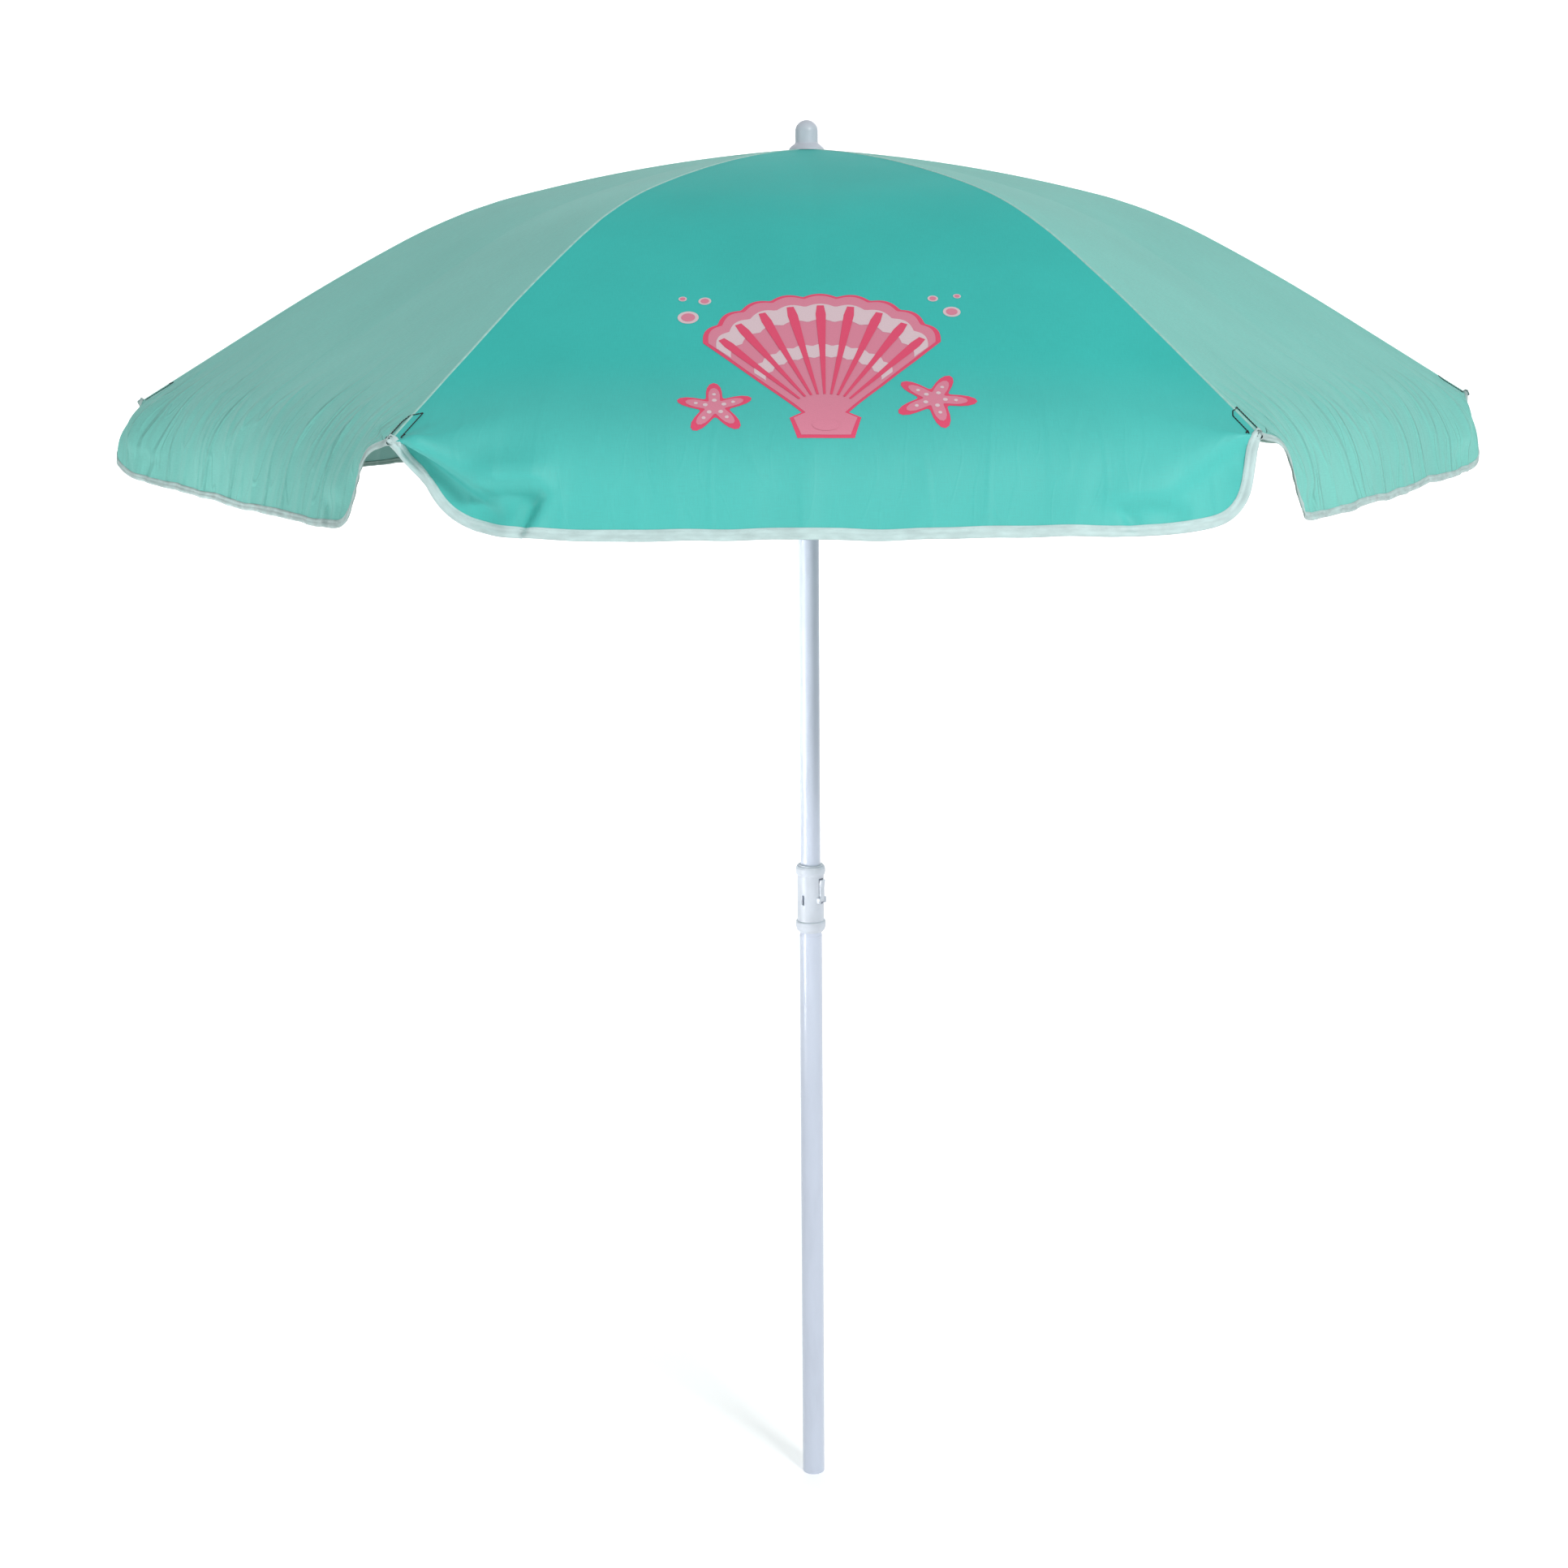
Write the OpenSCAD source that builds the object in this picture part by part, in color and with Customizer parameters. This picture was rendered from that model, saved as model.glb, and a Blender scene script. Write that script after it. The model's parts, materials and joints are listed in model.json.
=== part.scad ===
// Beach umbrella with a two-part pole, six hinged ribs and a panelled canopy.
// Millimetres. Z is up and the origin is the centre of the pole's foot.
// Ribs and stretchers are drawn in the plane of the first rib, along +X, and
// turned about the pole. Front is -Y, where the middle of panel 5 faces.

/* [Canopy] */
// Radius from the pole's axis to a rib tip
tip_radius = 700; // [640:5:760]
// Height of the canopy's top above the foot
apex_height = 1492; // [1450:1:1600]
// Thickness of the canopy shell
cloth_thick = 0.8; // [0.6:0.1:1]
// Drop of the valance below the rib tips at a panel's middle
valance_drop = 80; // [50:1:110]
// Outward lean of the valance's lower edge
valance_flare = 20; // [5:1:30]

/* [Pole] */
// Outer diameter of the upper tube
upper_dia = 22; // [20:1:22]
// Outer diameter of the lower tube
lower_dia = 25; // [25:1:28]
// Wall thickness of both tubes
tube_wall = 1; // [0.8:0.1:1]
// Height of the lower tube's top end
lower_top = 700; // [690:1:705]
// Height of the upper tube's lower end
upper_bottom = 432; // [380:1:500]

/* [Height collar] */
// Height of the collar's lower edge
collar_bottom = 654; // [650:1:658]
// Height of the collar's upper edge
collar_top = 729; // [726:1:735]
// Bearing of the lever, from the front towards the right
lever_bearing = 52; // [30:1:70]

/* [Frame] */
// Diameter of the rib and stretcher wire
wire_dia = 4; // [3:0.5:4]
// Diameter of the hinge pins
pin_dia = 3; // [2.5:0.1:3]
// Height of the stretcher pivots below the canopy's top
runner_drop = 214.5; // [205:0.5:225]

/* [Hidden] */
$fn = 48;
rib_count = 6;
sector = 360 / rib_count;
running = 0.05;
upper_r = upper_dia / 2;
lower_r = lower_dia / 2;
wire_r = wire_dia / 2;
pin_r = pin_dia / 2;

// Stations along the cloth over a rib: radius, and slope below the horizontal
cloth_stations = [[0, 3.5], [0.425 * tip_radius, 14], [0.6 * tip_radius, 27],
                  [0.8 * tip_radius, 31], [tip_radius, 31]];
clip_radius = cloth_stations[1][0];

// Crown, below the canopy's top
crown_pivot_r = 18;
crown_pivot_z = -10;
hub_r = 24;
hub_top = -3.2;
hub_bottom = -17;
hub_sleeve_bottom = -46;

// Ribs hang this far below the cloth at the clip
rib_gap = 4.3;
rib_end_radius = 0.986 * tip_radius;
eye_r = 3.4;
eye_thick = 3;

// Stretchers lie beside the ribs
runner_pivot_r = 20;
stretcher_y = 6;
stretcher_eye_thick = 3;
clip_half_width = 3.4;
clip_pivot = [clip_radius - 1.5, cloth_z(clip_radius) - rib_gap - 6.9];

// Panel k lies between rib k and the next; its near half is on rib k's side

// --- Curves ---------------------------------------------------------------

// Drop from one station to the next along a circular arc
function step_drop(a, b) = (b[0] - a[0]) * tan((a[1] + b[1]) / 2);

// Height of station i when the first is at height z0
function station_z(stations, i, z0 = 0) =
    i == 0 ? z0
           : station_z(stations, i - 1, z0) - step_drop(stations[i - 1], stations[i]);

// Number of the stretch that holds radius r
function stretch_at(stations, r, i = 0) =
    i >= len(stations) - 2 || r <= stations[i + 1][0] ? i : stretch_at(stations, r, i + 1);

function bend_radius(a, b) = (b[0] - a[0]) / (sin(b[1]) - sin(a[1]));

// Slope and height of the cloth above a rib at radius r
function slope_on(a, b, r) =
    a[1] == b[1] ? a[1] : asin(sin(a[1]) + (r - a[0]) / bend_radius(a, b));
function cloth_slope(r) =
    let (i = stretch_at(cloth_stations, r))
    slope_on(cloth_stations[i], cloth_stations[i + 1], r);
function cloth_z(r) =
    let (i = stretch_at(cloth_stations, r), a = cloth_stations[i])
    station_z(cloth_stations, i) - step_drop(a, [r, cloth_slope(r)]);

// --- Pole -----------------------------------------------------------------

module tube(outer_r, inner_r, from, to) {
    translate([0, 0, from])
        difference() {
            cylinder(r = outer_r, h = to - from, $fn = 96);
            translate([0, 0, -1])
                cylinder(r = inner_r, h = to - from + 2, $fn = 96);
        }
}

// Puts its children, drawn along +X, at a bearing from the front
module at_bearing(bearing) {
    rotate([0, 0, bearing - 90])
        children();
}

// Long hole through one side of the collar and the tube inside it
slot_bearing = -36;
slot_bottom = collar_bottom + 32.5;
module key_slot() {
    at_bearing(slot_bearing)
        translate([lower_r - 3, -1.5, slot_bottom])
            cube([8, 3, 11]);
}

neck_r = lower_r - 0.4;
neck_bottom = collar_bottom - 4;
lower_bore_r = lower_r - tube_wall;
module lower_pole() {
    color([0.86, 0.89, 0.95])
        difference() {
            union() {
                cylinder(r = lower_r, h = neck_bottom, $fn = 96);
                translate([0, 0, neck_bottom])
                    cylinder(r = neck_r, h = lower_top - neck_bottom, $fn = 96);
            }
            translate([0, 0, -1])
                cylinder(r = lower_bore_r, h = lower_top + 2, $fn = 96);
            key_slot();
        }
}

module foot_plug() {
    color([0.9, 0.9, 0.92])
        translate([0, 0, 1])
            difference() {
                cylinder(r = lower_bore_r - running, h = 22);
                translate([0, 0, 4])
                    cylinder(r = lower_bore_r - 3, h = 20);
            }
}

collar_r = 14.75;
window_bottom = collar_bottom + 33;
window_top = window_bottom + 29;
window_half = 4;
lever_pivot = [14.9, collar_bottom + 37.5];
lever_pin_r = 0.8;

module collar_outline() {
    bore = neck_r + running;
    polygon([
        [bore, collar_bottom],
        [13.2, collar_bottom],
        [15.6, collar_bottom + 3],
        [16.7, collar_bottom + 7],
        [16.7, collar_bottom + 11],
        [16.1, collar_bottom + 12.5],
        [collar_r, collar_bottom + 13],
        [collar_r, collar_top - 10],
        [15.9, collar_top - 9],
        [16.4, collar_top - 6.5],
        [16.2, collar_top - 2.5],
        [15.2, collar_top],
        [bore, collar_top]]);
}

module height_collar() {
    color([0.93, 0.94, 0.96])
        difference() {
            union() {
                rotate_extrude($fn = 96)
                    collar_outline();
                at_bearing(lever_bearing)
                    translate([neck_r + 0.4, -6.4, lever_pivot[1] - 3.2])
                        cube([16.6 - neck_r, 12.8, 6.4]);
            }
            at_bearing(lever_bearing) {
                translate([lower_bore_r - 1, -window_half, window_bottom])
                    cube([10, 2 * window_half, window_top - window_bottom]);
                translate([lever_pivot[0], 0, lever_pivot[1]])
                    rotate([90, 0, 0])
                        cylinder(r = lever_pin_r, h = 30, center = true);
            }
            key_slot();
        }
}

// Guide sleeve that the upper tube slides in
module collar_bush() {
    color([0.82, 0.86, 0.9])
        difference() {
            union() {
                translate([0, 0, lower_top + 1])
                    cylinder(r = neck_r, h = collar_top - lower_top - 0.5, $fn = 96);
                translate([0, 0, collar_top])
                    cylinder(r = 13.6, h = 1.5, $fn = 96);
            }
            translate([0, 0, lower_top])
                cylinder(r = upper_r + running, h = 60, $fn = 96);
            at_bearing(lever_bearing)
                translate([upper_r - 1, -window_half - 0.3, lower_top])
                    cube([8, 2 * window_half + 0.6, 16]);
        }
}

module lever_pin() {
    color([0.7, 0.71, 0.73])
        at_bearing(lever_bearing)
            translate([lever_pivot[0], 0, lever_pivot[1]])
                rotate([90, 0, 0])
                    cylinder(r = lever_pin_r, h = 12, center = true);
}

// Locking lever: a cam nose faces the tube and a finger tab stands outside
module height_lever() {
    x = lever_pivot[0];
    z = lever_pivot[1];
    color([0.95, 0.96, 0.98])
        at_bearing(lever_bearing)
            difference() {
                union() {
                    translate([x, 0, z])
                        rotate([90, 0, 0])
                            cylinder(r = 1.9, h = 7, center = true);
                    translate([0, 3.5, 0])
                        rotate([90, 0, 0])
                            linear_extrude(7)
                                polygon([
                                    [x - 1.7, z], [x - 1.3, z + 10.5],
                                    [upper_r + 0.4, z + 12], [upper_r + 0.4, z + 15],
                                    [x - 1.2, z + 17], [x + 0.2, z + 22.5],
                                    [x + 2.2, z + 23.5], [x + 2.6, z + 22.5],
                                    [x + 1.4, z + 14], [x + 1.7, z]]);
                }
                translate([x, 0, z])
                    rotate([90, 0, 0])
                        cylinder(r = lever_pin_r + running, h = 20, center = true);
            }
}

upper_bore_r = upper_r - tube_wall;
module upper_pole() {
    color([0.87, 0.9, 0.96])
        difference() {
            tube(upper_r, upper_bore_r, upper_bottom, apex_height - 19);
            rivet_hole(rivet_r);
        }
}

// Plug that guides the upper tube's lower end inside the lower tube
module pole_glide() {
    color([0.9, 0.9, 0.92])
        difference() {
            union() {
                translate([0, 0, upper_bottom - 12])
                    cylinder(r = lower_bore_r - running, h = 12);
                translate([0, 0, upper_bottom])
                    cylinder(r = upper_bore_r - running, h = 22);
            }
            translate([0, 0, upper_bottom - 13])
                cylinder(r = 6, h = 40);
        }
}

// --- Crown ----------------------------------------------------------------

rivet_r = 2;
rivet_height = apex_height - 34;
module rivet_hole(r) {
    at_bearing(0)
        translate([0, 0, rivet_height])
            rotate([0, 90, 0])
                cylinder(r = r, h = 60, center = true);
}

// Runs its children at each rib's bearing
module each_rib() {
    for (k = [0 : rib_count - 1])
        rotate([0, 0, k * sector])
            children();
}

finial_stem_r = 4;
module crown_hub() {
    slot_half = eye_thick / 2 + 0.4;
    color([0.92, 0.93, 0.95])
        difference() {
            translate([0, 0, apex_height])
                union() {
                    translate([0, 0, hub_bottom])
                        cylinder(r = hub_r, h = hub_top - hub_bottom, $fn = 72);
                    translate([0, 0, hub_sleeve_bottom])
                        cylinder(r = 13.6, h = hub_bottom - hub_sleeve_bottom, $fn = 72);
                }
            translate([0, 0, apex_height + hub_sleeve_bottom - 1])
                cylinder(r = upper_r, h = 28, $fn = 96);
            translate([0, 0, apex_height - 20])
                cylinder(r = finial_stem_r, h = 30);
            each_rib()
                translate([crown_pivot_r - 4, -slot_half, apex_height + hub_bottom - 1])
                    cube([20, 2 * slot_half, hub_top - hub_bottom - 1.2]);
            crown_pins();
            rivet_hole(rivet_r);
        }
}

module crown_pins() {
    color([0.7, 0.71, 0.73])
        each_rib()
            translate([crown_pivot_r, 0, apex_height + crown_pivot_z])
                rotate([90, 0, 0])
                    cylinder(r = pin_r, h = 11, center = true);
}

module crown_rivet() {
    color([0.7, 0.71, 0.73])
        at_bearing(0)
            translate([0, 0, rivet_height])
                rotate([0, 90, 0])
                    union() {
                        cylinder(r = rivet_r, h = 28, center = true);
                        for (side = [-1, 1])
                            translate([0, 0, side * 14.3])
                                cylinder(r = 3.4, h = 1.2, center = true);
                    }
}

module canopy_washer() {
    color([0.85, 0.87, 0.9])
        translate([0, 0, apex_height + hub_top])
            difference() {
                cylinder(r = 15, h = 0.8);
                translate([0, 0, -1])
                    cylinder(r = finial_stem_r + 0.3, h = 3);
            }
}

finial_r = 11.75;
finial_height = 29;
module finial_cap() {
    dome = 11;
    flare = 6.6;
    color([0.93, 0.94, 0.96])
        translate([0, 0, apex_height])
            rotate_extrude($fn = 96)
                union() {
                    intersection() {
                        translate([0, finial_height - dome])
                            scale([finial_r / dome, 1])
                                circle(r = dome);
                        translate([0, finial_height - dome])
                            square([finial_r, dome]);
                    }
                    polygon([
                        [0, -13], [finial_stem_r - running, -13],
                        [finial_stem_r - running, 0], [6, 0], [18.5, -0.9],
                        [18, 0.6], [16.2, 2.6], [13.6, 4.6], [12.2, 5.6],
                        [finial_r, flare], [finial_r, finial_height - dome],
                        [0, finial_height - dome]]);
                }
}

// --- Runner ---------------------------------------------------------------

runner_z = apex_height - runner_drop;
runner_flange_r = 26;
sleeve_r = 14.6;
catch_bearing = 0;
catch_pivot = [17.2, runner_z - 24];
catch_pin_r = 1;

module runner() {
    slot_half = stretcher_eye_thick / 2 + 0.35;
    color([0.92, 0.93, 0.95])
        difference() {
            union() {
                translate([0, 0, runner_z - 6])
                    cylinder(r = runner_flange_r, h = 11, $fn = 72);
                translate([0, 0, runner_z - 44])
                    cylinder(r = sleeve_r, h = 40, $fn = 72);
                translate([0, 0, runner_z - 44])
                    cylinder(r = 17.5, h = 4, $fn = 72);
                at_bearing(catch_bearing)
                    translate([11.6, -6.6, catch_pivot[1] - 3])
                        cube([7.6, 13.2, 6]);
            }
            translate([0, 0, runner_z - 50])
                cylinder(r = upper_r + 0.08, h = 70, $fn = 96);
            each_rib()
                translate([13.5, stretcher_y - slot_half, runner_z - 4.5])
                    cube([20, 2 * slot_half, 20]);
            runner_pins();
            at_bearing(catch_bearing) {
                translate([sleeve_r + 0.05, -4, catch_pivot[1] - 13])
                    cube([20, 8, 29]);
                translate([upper_r - 2, -4, catch_pivot[1] + 6])
                    cube([10, 8, 10]);
                translate([catch_pivot[0], 0, catch_pivot[1]])
                    rotate([90, 0, 0])
                        cylinder(r = catch_pin_r, h = 30, center = true);
            }
        }
}

module runner_pins() {
    color([0.7, 0.71, 0.73])
        each_rib()
            translate([runner_pivot_r, stretcher_y, runner_z])
                rotate([90, 0, 0])
                    cylinder(r = pin_r, h = 9, center = true);
}

// Rocker that holds the runner up: nose above the pivot, thumb pad below it
module runner_catch() {
    x = catch_pivot[0];
    z = catch_pivot[1];
    color([0.88, 0.9, 0.93])
        at_bearing(catch_bearing)
            difference() {
                union() {
                    translate([x, 0, z])
                        rotate([90, 0, 0])
                            cylinder(r = 2.2, h = 7, center = true);
                    translate([0, 3.5, 0])
                        rotate([90, 0, 0])
                            linear_extrude(7)
                                polygon([
                                    [x - 1.9, z - 1], [x - 2, z + 8],
                                    [upper_r + 0.45, z + 9], [upper_r + 0.45, z + 13],
                                    [x, z + 13], [x + 2, z + 10], [x + 2, z],
                                    [x + 3.2, z - 9], [x + 1.6, z - 13],
                                    [x - 0.6, z - 12]]);
                }
                translate([x, 0, z])
                    rotate([90, 0, 0])
                        cylinder(r = catch_pin_r + running, h = 20, center = true);
            }
}

module catch_pin() {
    color([0.7, 0.71, 0.73])
        at_bearing(catch_bearing)
            translate([catch_pivot[0], 0, catch_pivot[1]])
                rotate([90, 0, 0])
                    cylinder(r = catch_pin_r, h = 13, center = true);
}

// Leaf spring between the sleeve and the thumb pad
module catch_spring() {
    x = sleeve_r + 0.1;
    z = catch_pivot[1];
    color([0.65, 0.66, 0.68])
        at_bearing(catch_bearing)
            translate([0, 2, 0])
                rotate([90, 0, 0])
                    linear_extrude(4)
                        polygon([
                            [x, z - 11.5], [x + 0.5, z - 11.5], [x + 1.4, z - 9],
                            [x + 1.1, z - 8.5], [x + 0.35, z - 10.4],
                            [x + 0.35, z - 5], [x, z - 5]]);
}

// --- Ribs -----------------------------------------------------------------

// Bent wire through stations, from height z0, in the XZ plane. Its arcs stop
// a hair short of each other, inside the swages that join them.
module bent_wire(stations, z0, r) {
    for (i = [0 : len(stations) - 2]) {
        a = stations[i];
        b = stations[i + 1];
        za = station_z(stations, i, z0);
        if (a[1] == b[1]) {
            translate([a[0], 0, za])
                rotate([0, 90 + a[1], 0])
                    cylinder(r = r, h = (b[0] - a[0]) / cos(a[1]));
        } else {
            bend = bend_radius(a, b);
            translate([a[0] - bend * sin(a[1]), 0, za - bend * cos(a[1])])
                rotate([90, 0, 0])
                    rotate([0, 0, 90 - b[1]])
                        rotate_extrude(angle = b[1] - a[1] - 0.01, $fn = 480)
                            translate([bend, 0])
                                circle(r = r, $fn = 24);
        }
    }
}

rib_clip_z = cloth_z(clip_radius) - rib_gap;
rib_start_slope =
    2 * atan((crown_pivot_z - rib_clip_z) / (clip_radius - crown_pivot_r)) - 14;
rib_outer_slope = 31.5;
rib_stations = [[crown_pivot_r, rib_start_slope], [clip_radius, 14],
                [0.6 * tip_radius, 27], [0.8 * tip_radius, rib_outer_slope],
                [rib_end_radius, rib_outer_slope]];
rib_end_z = station_z(rib_stations, 4, crown_pivot_z);

module rib_shape() {
    color([0.74, 0.76, 0.79])
        difference() {
            union() {
                bent_wire(rib_stations, crown_pivot_z, wire_r);
                translate([crown_pivot_r, 0, crown_pivot_z])
                    rotate([90, 0, 0])
                        cylinder(r = eye_r, h = eye_thick, center = true);
                for (i = [1 : 3])
                    translate([rib_stations[i][0], 0, station_z(rib_stations, i, crown_pivot_z)])
                        rotate([0, 90 + rib_stations[i][1], 0])
                            cylinder(r = wire_r + 0.1, h = 4, center = true, $fn = 24);
            }
            translate([crown_pivot_r, 0, crown_pivot_z])
                rotate([90, 0, 0])
                    cylinder(r = pin_r + running, h = 20, center = true);
            for (side = [-1, 1])
                translate([crown_pivot_r, side * (5 + eye_thick / 2), crown_pivot_z])
                    cube([20, 10, 16], center = true);
        }
}

// Saddle that clamps on the wire, with an ear beside the stretcher's eye
module clip_shape() {
    color([0.9, 0.91, 0.93])
        translate([clip_radius, 0, rib_clip_z])
            rotate([0, 14.4, 0])
                difference() {
                    union() {
                        translate([-9, -clip_half_width, -3.4])
                            cube([18, 2 * clip_half_width, 6]);
                        translate([-4.6, -clip_half_width, -8])
                            cube([9.2, 2 * clip_half_width, 6]);
                        translate([0, 0, -7])
                            rotate([90, 0, 0])
                                cylinder(r = 4.6, h = 2 * clip_half_width, center = true);
                    }
                    rotate([0, 90, 0])
                        cylinder(r = wire_r + 0.15, h = 40, center = true);
                }
}

// Plastic end cap that sits in the canopy's tip pocket
module tip_shape() {
    cap_r = 3.2;
    color([0.93, 0.94, 0.96])
        translate([rib_end_radius, 0, rib_end_z])
            rotate([0, 90 + rib_outer_slope, 0])
                difference() {
                    union() {
                        translate([0, 0, -16])
                            cylinder(r = cap_r, h = 20);
                        translate([0, 0, 4])
                            sphere(r = cap_r);
                    }
                    translate([0, 0, -17])
                        cylinder(r = wire_r, h = 17);
                }
}

// --- Stretchers -----------------------------------------------------------

reach = [clip_pivot[0] - runner_pivot_r, clip_pivot[1] + runner_drop];
stretcher_len = norm(reach);
stretcher_rise = atan2(reach[1], reach[0]);

// Puts its children on the stretcher's line, with +X from runner to rib
module on_stretcher() {
    translate([runner_pivot_r, stretcher_y, -runner_drop])
        rotate([0, -stretcher_rise, 0])
            children();
}

module cross_hole(x, r) {
    translate([x, 0, 0])
        rotate([90, 0, 0])
            cylinder(r = r, h = 20, center = true);
}

module stretcher_shape() {
    color([0.74, 0.76, 0.79])
        on_stretcher()
            difference() {
                union() {
                    rotate([0, 90, 0])
                        cylinder(r = wire_r, h = stretcher_len);
                    for (x = [0, stretcher_len])
                        translate([x, 0, 0])
                            rotate([90, 0, 0])
                                cylinder(r = 3.8, h = stretcher_eye_thick, center = true);
                }
                cross_hole(0, pin_r + running);
                cross_hole(stretcher_len, pin_r);
                for (x = [0, stretcher_len], side = [-1, 1])
                    translate([x, side * (5 + stretcher_eye_thick / 2), 0])
                        cube([16, 10, 14], center = true);
            }
}

module rivet_shape() {
    half = stretcher_eye_thick / 2;
    color([0.68, 0.69, 0.71])
        on_stretcher()
            translate([stretcher_len, 0, 0])
                rotate([90, 0, 0])
                    union() {
                        cylinder(r = pin_r, h = stretcher_eye_thick + 0.4, center = true);
                        translate([0, 0, -half - 1.4])
                            cylinder(r = 3.2, h = 1.4);
                    }
}

// --- Canopy ---------------------------------------------------------------

// Each half panel spans from its rib to the panel's middle.
// share runs from 0 at the rib to 1 at the middle.
half_tip_span = tip_radius * sin(sector / 2);
arch_width = 24;
flare_width = 50;
function smooth(t) = let (s = max(0, min(1, t))) s * s * (3 - 2 * s);

// Depth of the valance at distance u from the rib: an arch, then a slow fall
function valance(u) =
    3 + (valance_drop - 3) * (1 - 0.8 * exp(-pow(u / arch_width, 1.6)) - 0.2 * exp(-u / 110));

// Point of the outer surface on the straight line between two ribs
function chord_point(r, share) =
    [r * (1 - share / 4), r * share * sqrt(3) / 4, cloth_z(r)];
function outward(share) = [cos(sector / 2 * share), sin(sector / 2 * share), 0];

// Valance point, part of the way down from the tip line
function valance_point(share, down) =
    chord_point(tip_radius, share)
    + outward(share) * valance_flare * down * smooth(share * half_tip_span / flare_width)
    - [0, 0, valance(share * half_tip_span) * down];

shell_radii = concat([6, 45, 85, 125, 170, 215, 258],
                     [for (f = [0.425, 0.46, 0.495, 0.53, 0.565, 0.6, 0.65, 0.7, 0.75, 0.8,
                                0.9, 1]) f * tip_radius]);
shell_shares = concat([for (u = [0, 6, 12, 18, 26, 38, 60, 110, 200]) u / half_tip_span],
                      [0.9995]);
down_steps = [0.5, 1];

function inset(slope, share) =
    cloth_thick * (outward(share) * sin(slope) + [0, 0, cos(slope)]);

outer_rows = concat(
    [for (r = shell_radii) [for (t = shell_shares) chord_point(r, t)]],
    [for (d = down_steps) [for (t = shell_shares) valance_point(t, d)]]);
inner_rows = concat(
    [for (r = shell_radii) [for (t = shell_shares)
        chord_point(r, t) - inset(r == tip_radius ? 60 : cloth_slope(r), t)]],
    [for (d = down_steps) [for (t = shell_shares) valance_point(t, d) - inset(90, t)]]);

rows = len(outer_rows);
cols = len(shell_shares);
function at(i, j, side) = side * rows * cols + i * cols + j;

module half_panel(mirrored) {
    points = [for (grid = [outer_rows, inner_rows], row = grid, p = row)
              p + [0, 0, apex_height]];
    skin = [for (side = [0, 1], i = [0 : rows - 2], j = [0 : cols - 2])
            let (a = at(i, j, side), b = at(i, j + 1, side),
                 c = at(i + 1, j + 1, side), d = at(i + 1, j, side))
            side == 0 ? [a, b, c, d] : [d, c, b, a]];
    top_edge = [for (j = [0 : cols - 2])
                [at(0, j + 1, 0), at(0, j, 0), at(0, j, 1), at(0, j + 1, 1)]];
    hem_edge = [for (j = [0 : cols - 2])
                [at(rows - 1, j, 0), at(rows - 1, j + 1, 0),
                 at(rows - 1, j + 1, 1), at(rows - 1, j, 1)]];
    rib_edge = [for (i = [0 : rows - 2])
                [at(i, 0, 0), at(i + 1, 0, 0), at(i + 1, 0, 1), at(i, 0, 1)]];
    middle_edge = [for (i = [0 : rows - 2])
                   [at(i + 1, cols - 1, 0), at(i, cols - 1, 0),
                    at(i, cols - 1, 1), at(i + 1, cols - 1, 1)]];
    quads = concat(skin, top_edge, hem_edge, rib_edge, middle_edge);
    triangles = [for (q = quads, half = [0, 1])
                 half == 0 ? [q[0], q[1], q[2]] : [q[0], q[2], q[3]]];
    mirror([0, mirrored ? 1 : 0, 0])
        polyhedron(points, triangles);
}

teal = [0.28, 0.73, 0.7];
mint = [0.55, 0.77, 0.74];
module panel_half(k, far) {
    turn = (far ? k + 1 : k) * sector;
    color(k % 2 == 0 ? teal : mint)
        rotate([0, 0, turn])
            half_panel(far);
}

// --- Placing --------------------------------------------------------------

// Turns a shape drawn at the first rib, below the canopy's top, to rib k
module at_rib(k) {
    translate([0, 0, apex_height])
        rotate([0, 0, k * sector])
            children();
}

lower_pole();
foot_plug();
height_collar();
collar_bush();
lever_pin();
height_lever();
upper_pole();
pole_glide();
crown_hub();
crown_pins();
crown_rivet();
canopy_washer();
finial_cap();
runner();
runner_pins();
runner_catch();
catch_pin();
catch_spring();
for (k = [0 : rib_count - 1]) {
    at_rib(k) rib_shape();
    at_rib(k) clip_shape();
    at_rib(k) tip_shape();
    at_rib(k) stretcher_shape();
    at_rib(k) rivet_shape();
    panel_half(k, false);
    panel_half(k, true);
}
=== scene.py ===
import json
import math
from collections import namedtuple

import bmesh
import bpy
import numpy as np
from mathutils import Matrix, Vector


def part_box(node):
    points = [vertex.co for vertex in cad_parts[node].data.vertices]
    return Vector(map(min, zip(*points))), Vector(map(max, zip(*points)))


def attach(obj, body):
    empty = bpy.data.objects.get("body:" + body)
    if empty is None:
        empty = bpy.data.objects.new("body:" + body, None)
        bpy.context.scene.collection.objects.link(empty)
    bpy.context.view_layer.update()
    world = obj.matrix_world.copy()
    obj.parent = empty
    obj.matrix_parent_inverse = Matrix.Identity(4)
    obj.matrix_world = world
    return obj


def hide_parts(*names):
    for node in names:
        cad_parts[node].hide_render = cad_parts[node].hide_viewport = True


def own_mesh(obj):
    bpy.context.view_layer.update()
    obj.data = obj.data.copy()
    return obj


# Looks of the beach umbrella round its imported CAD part. Metres, Z up, and front is -Y.
# The cloth's own dimensions are in millimetres, in the frame of a rib: X runs out along the
# rib, Z is up from the canopy's top, and the half panel that is drawn lies on the +Y side.

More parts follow.
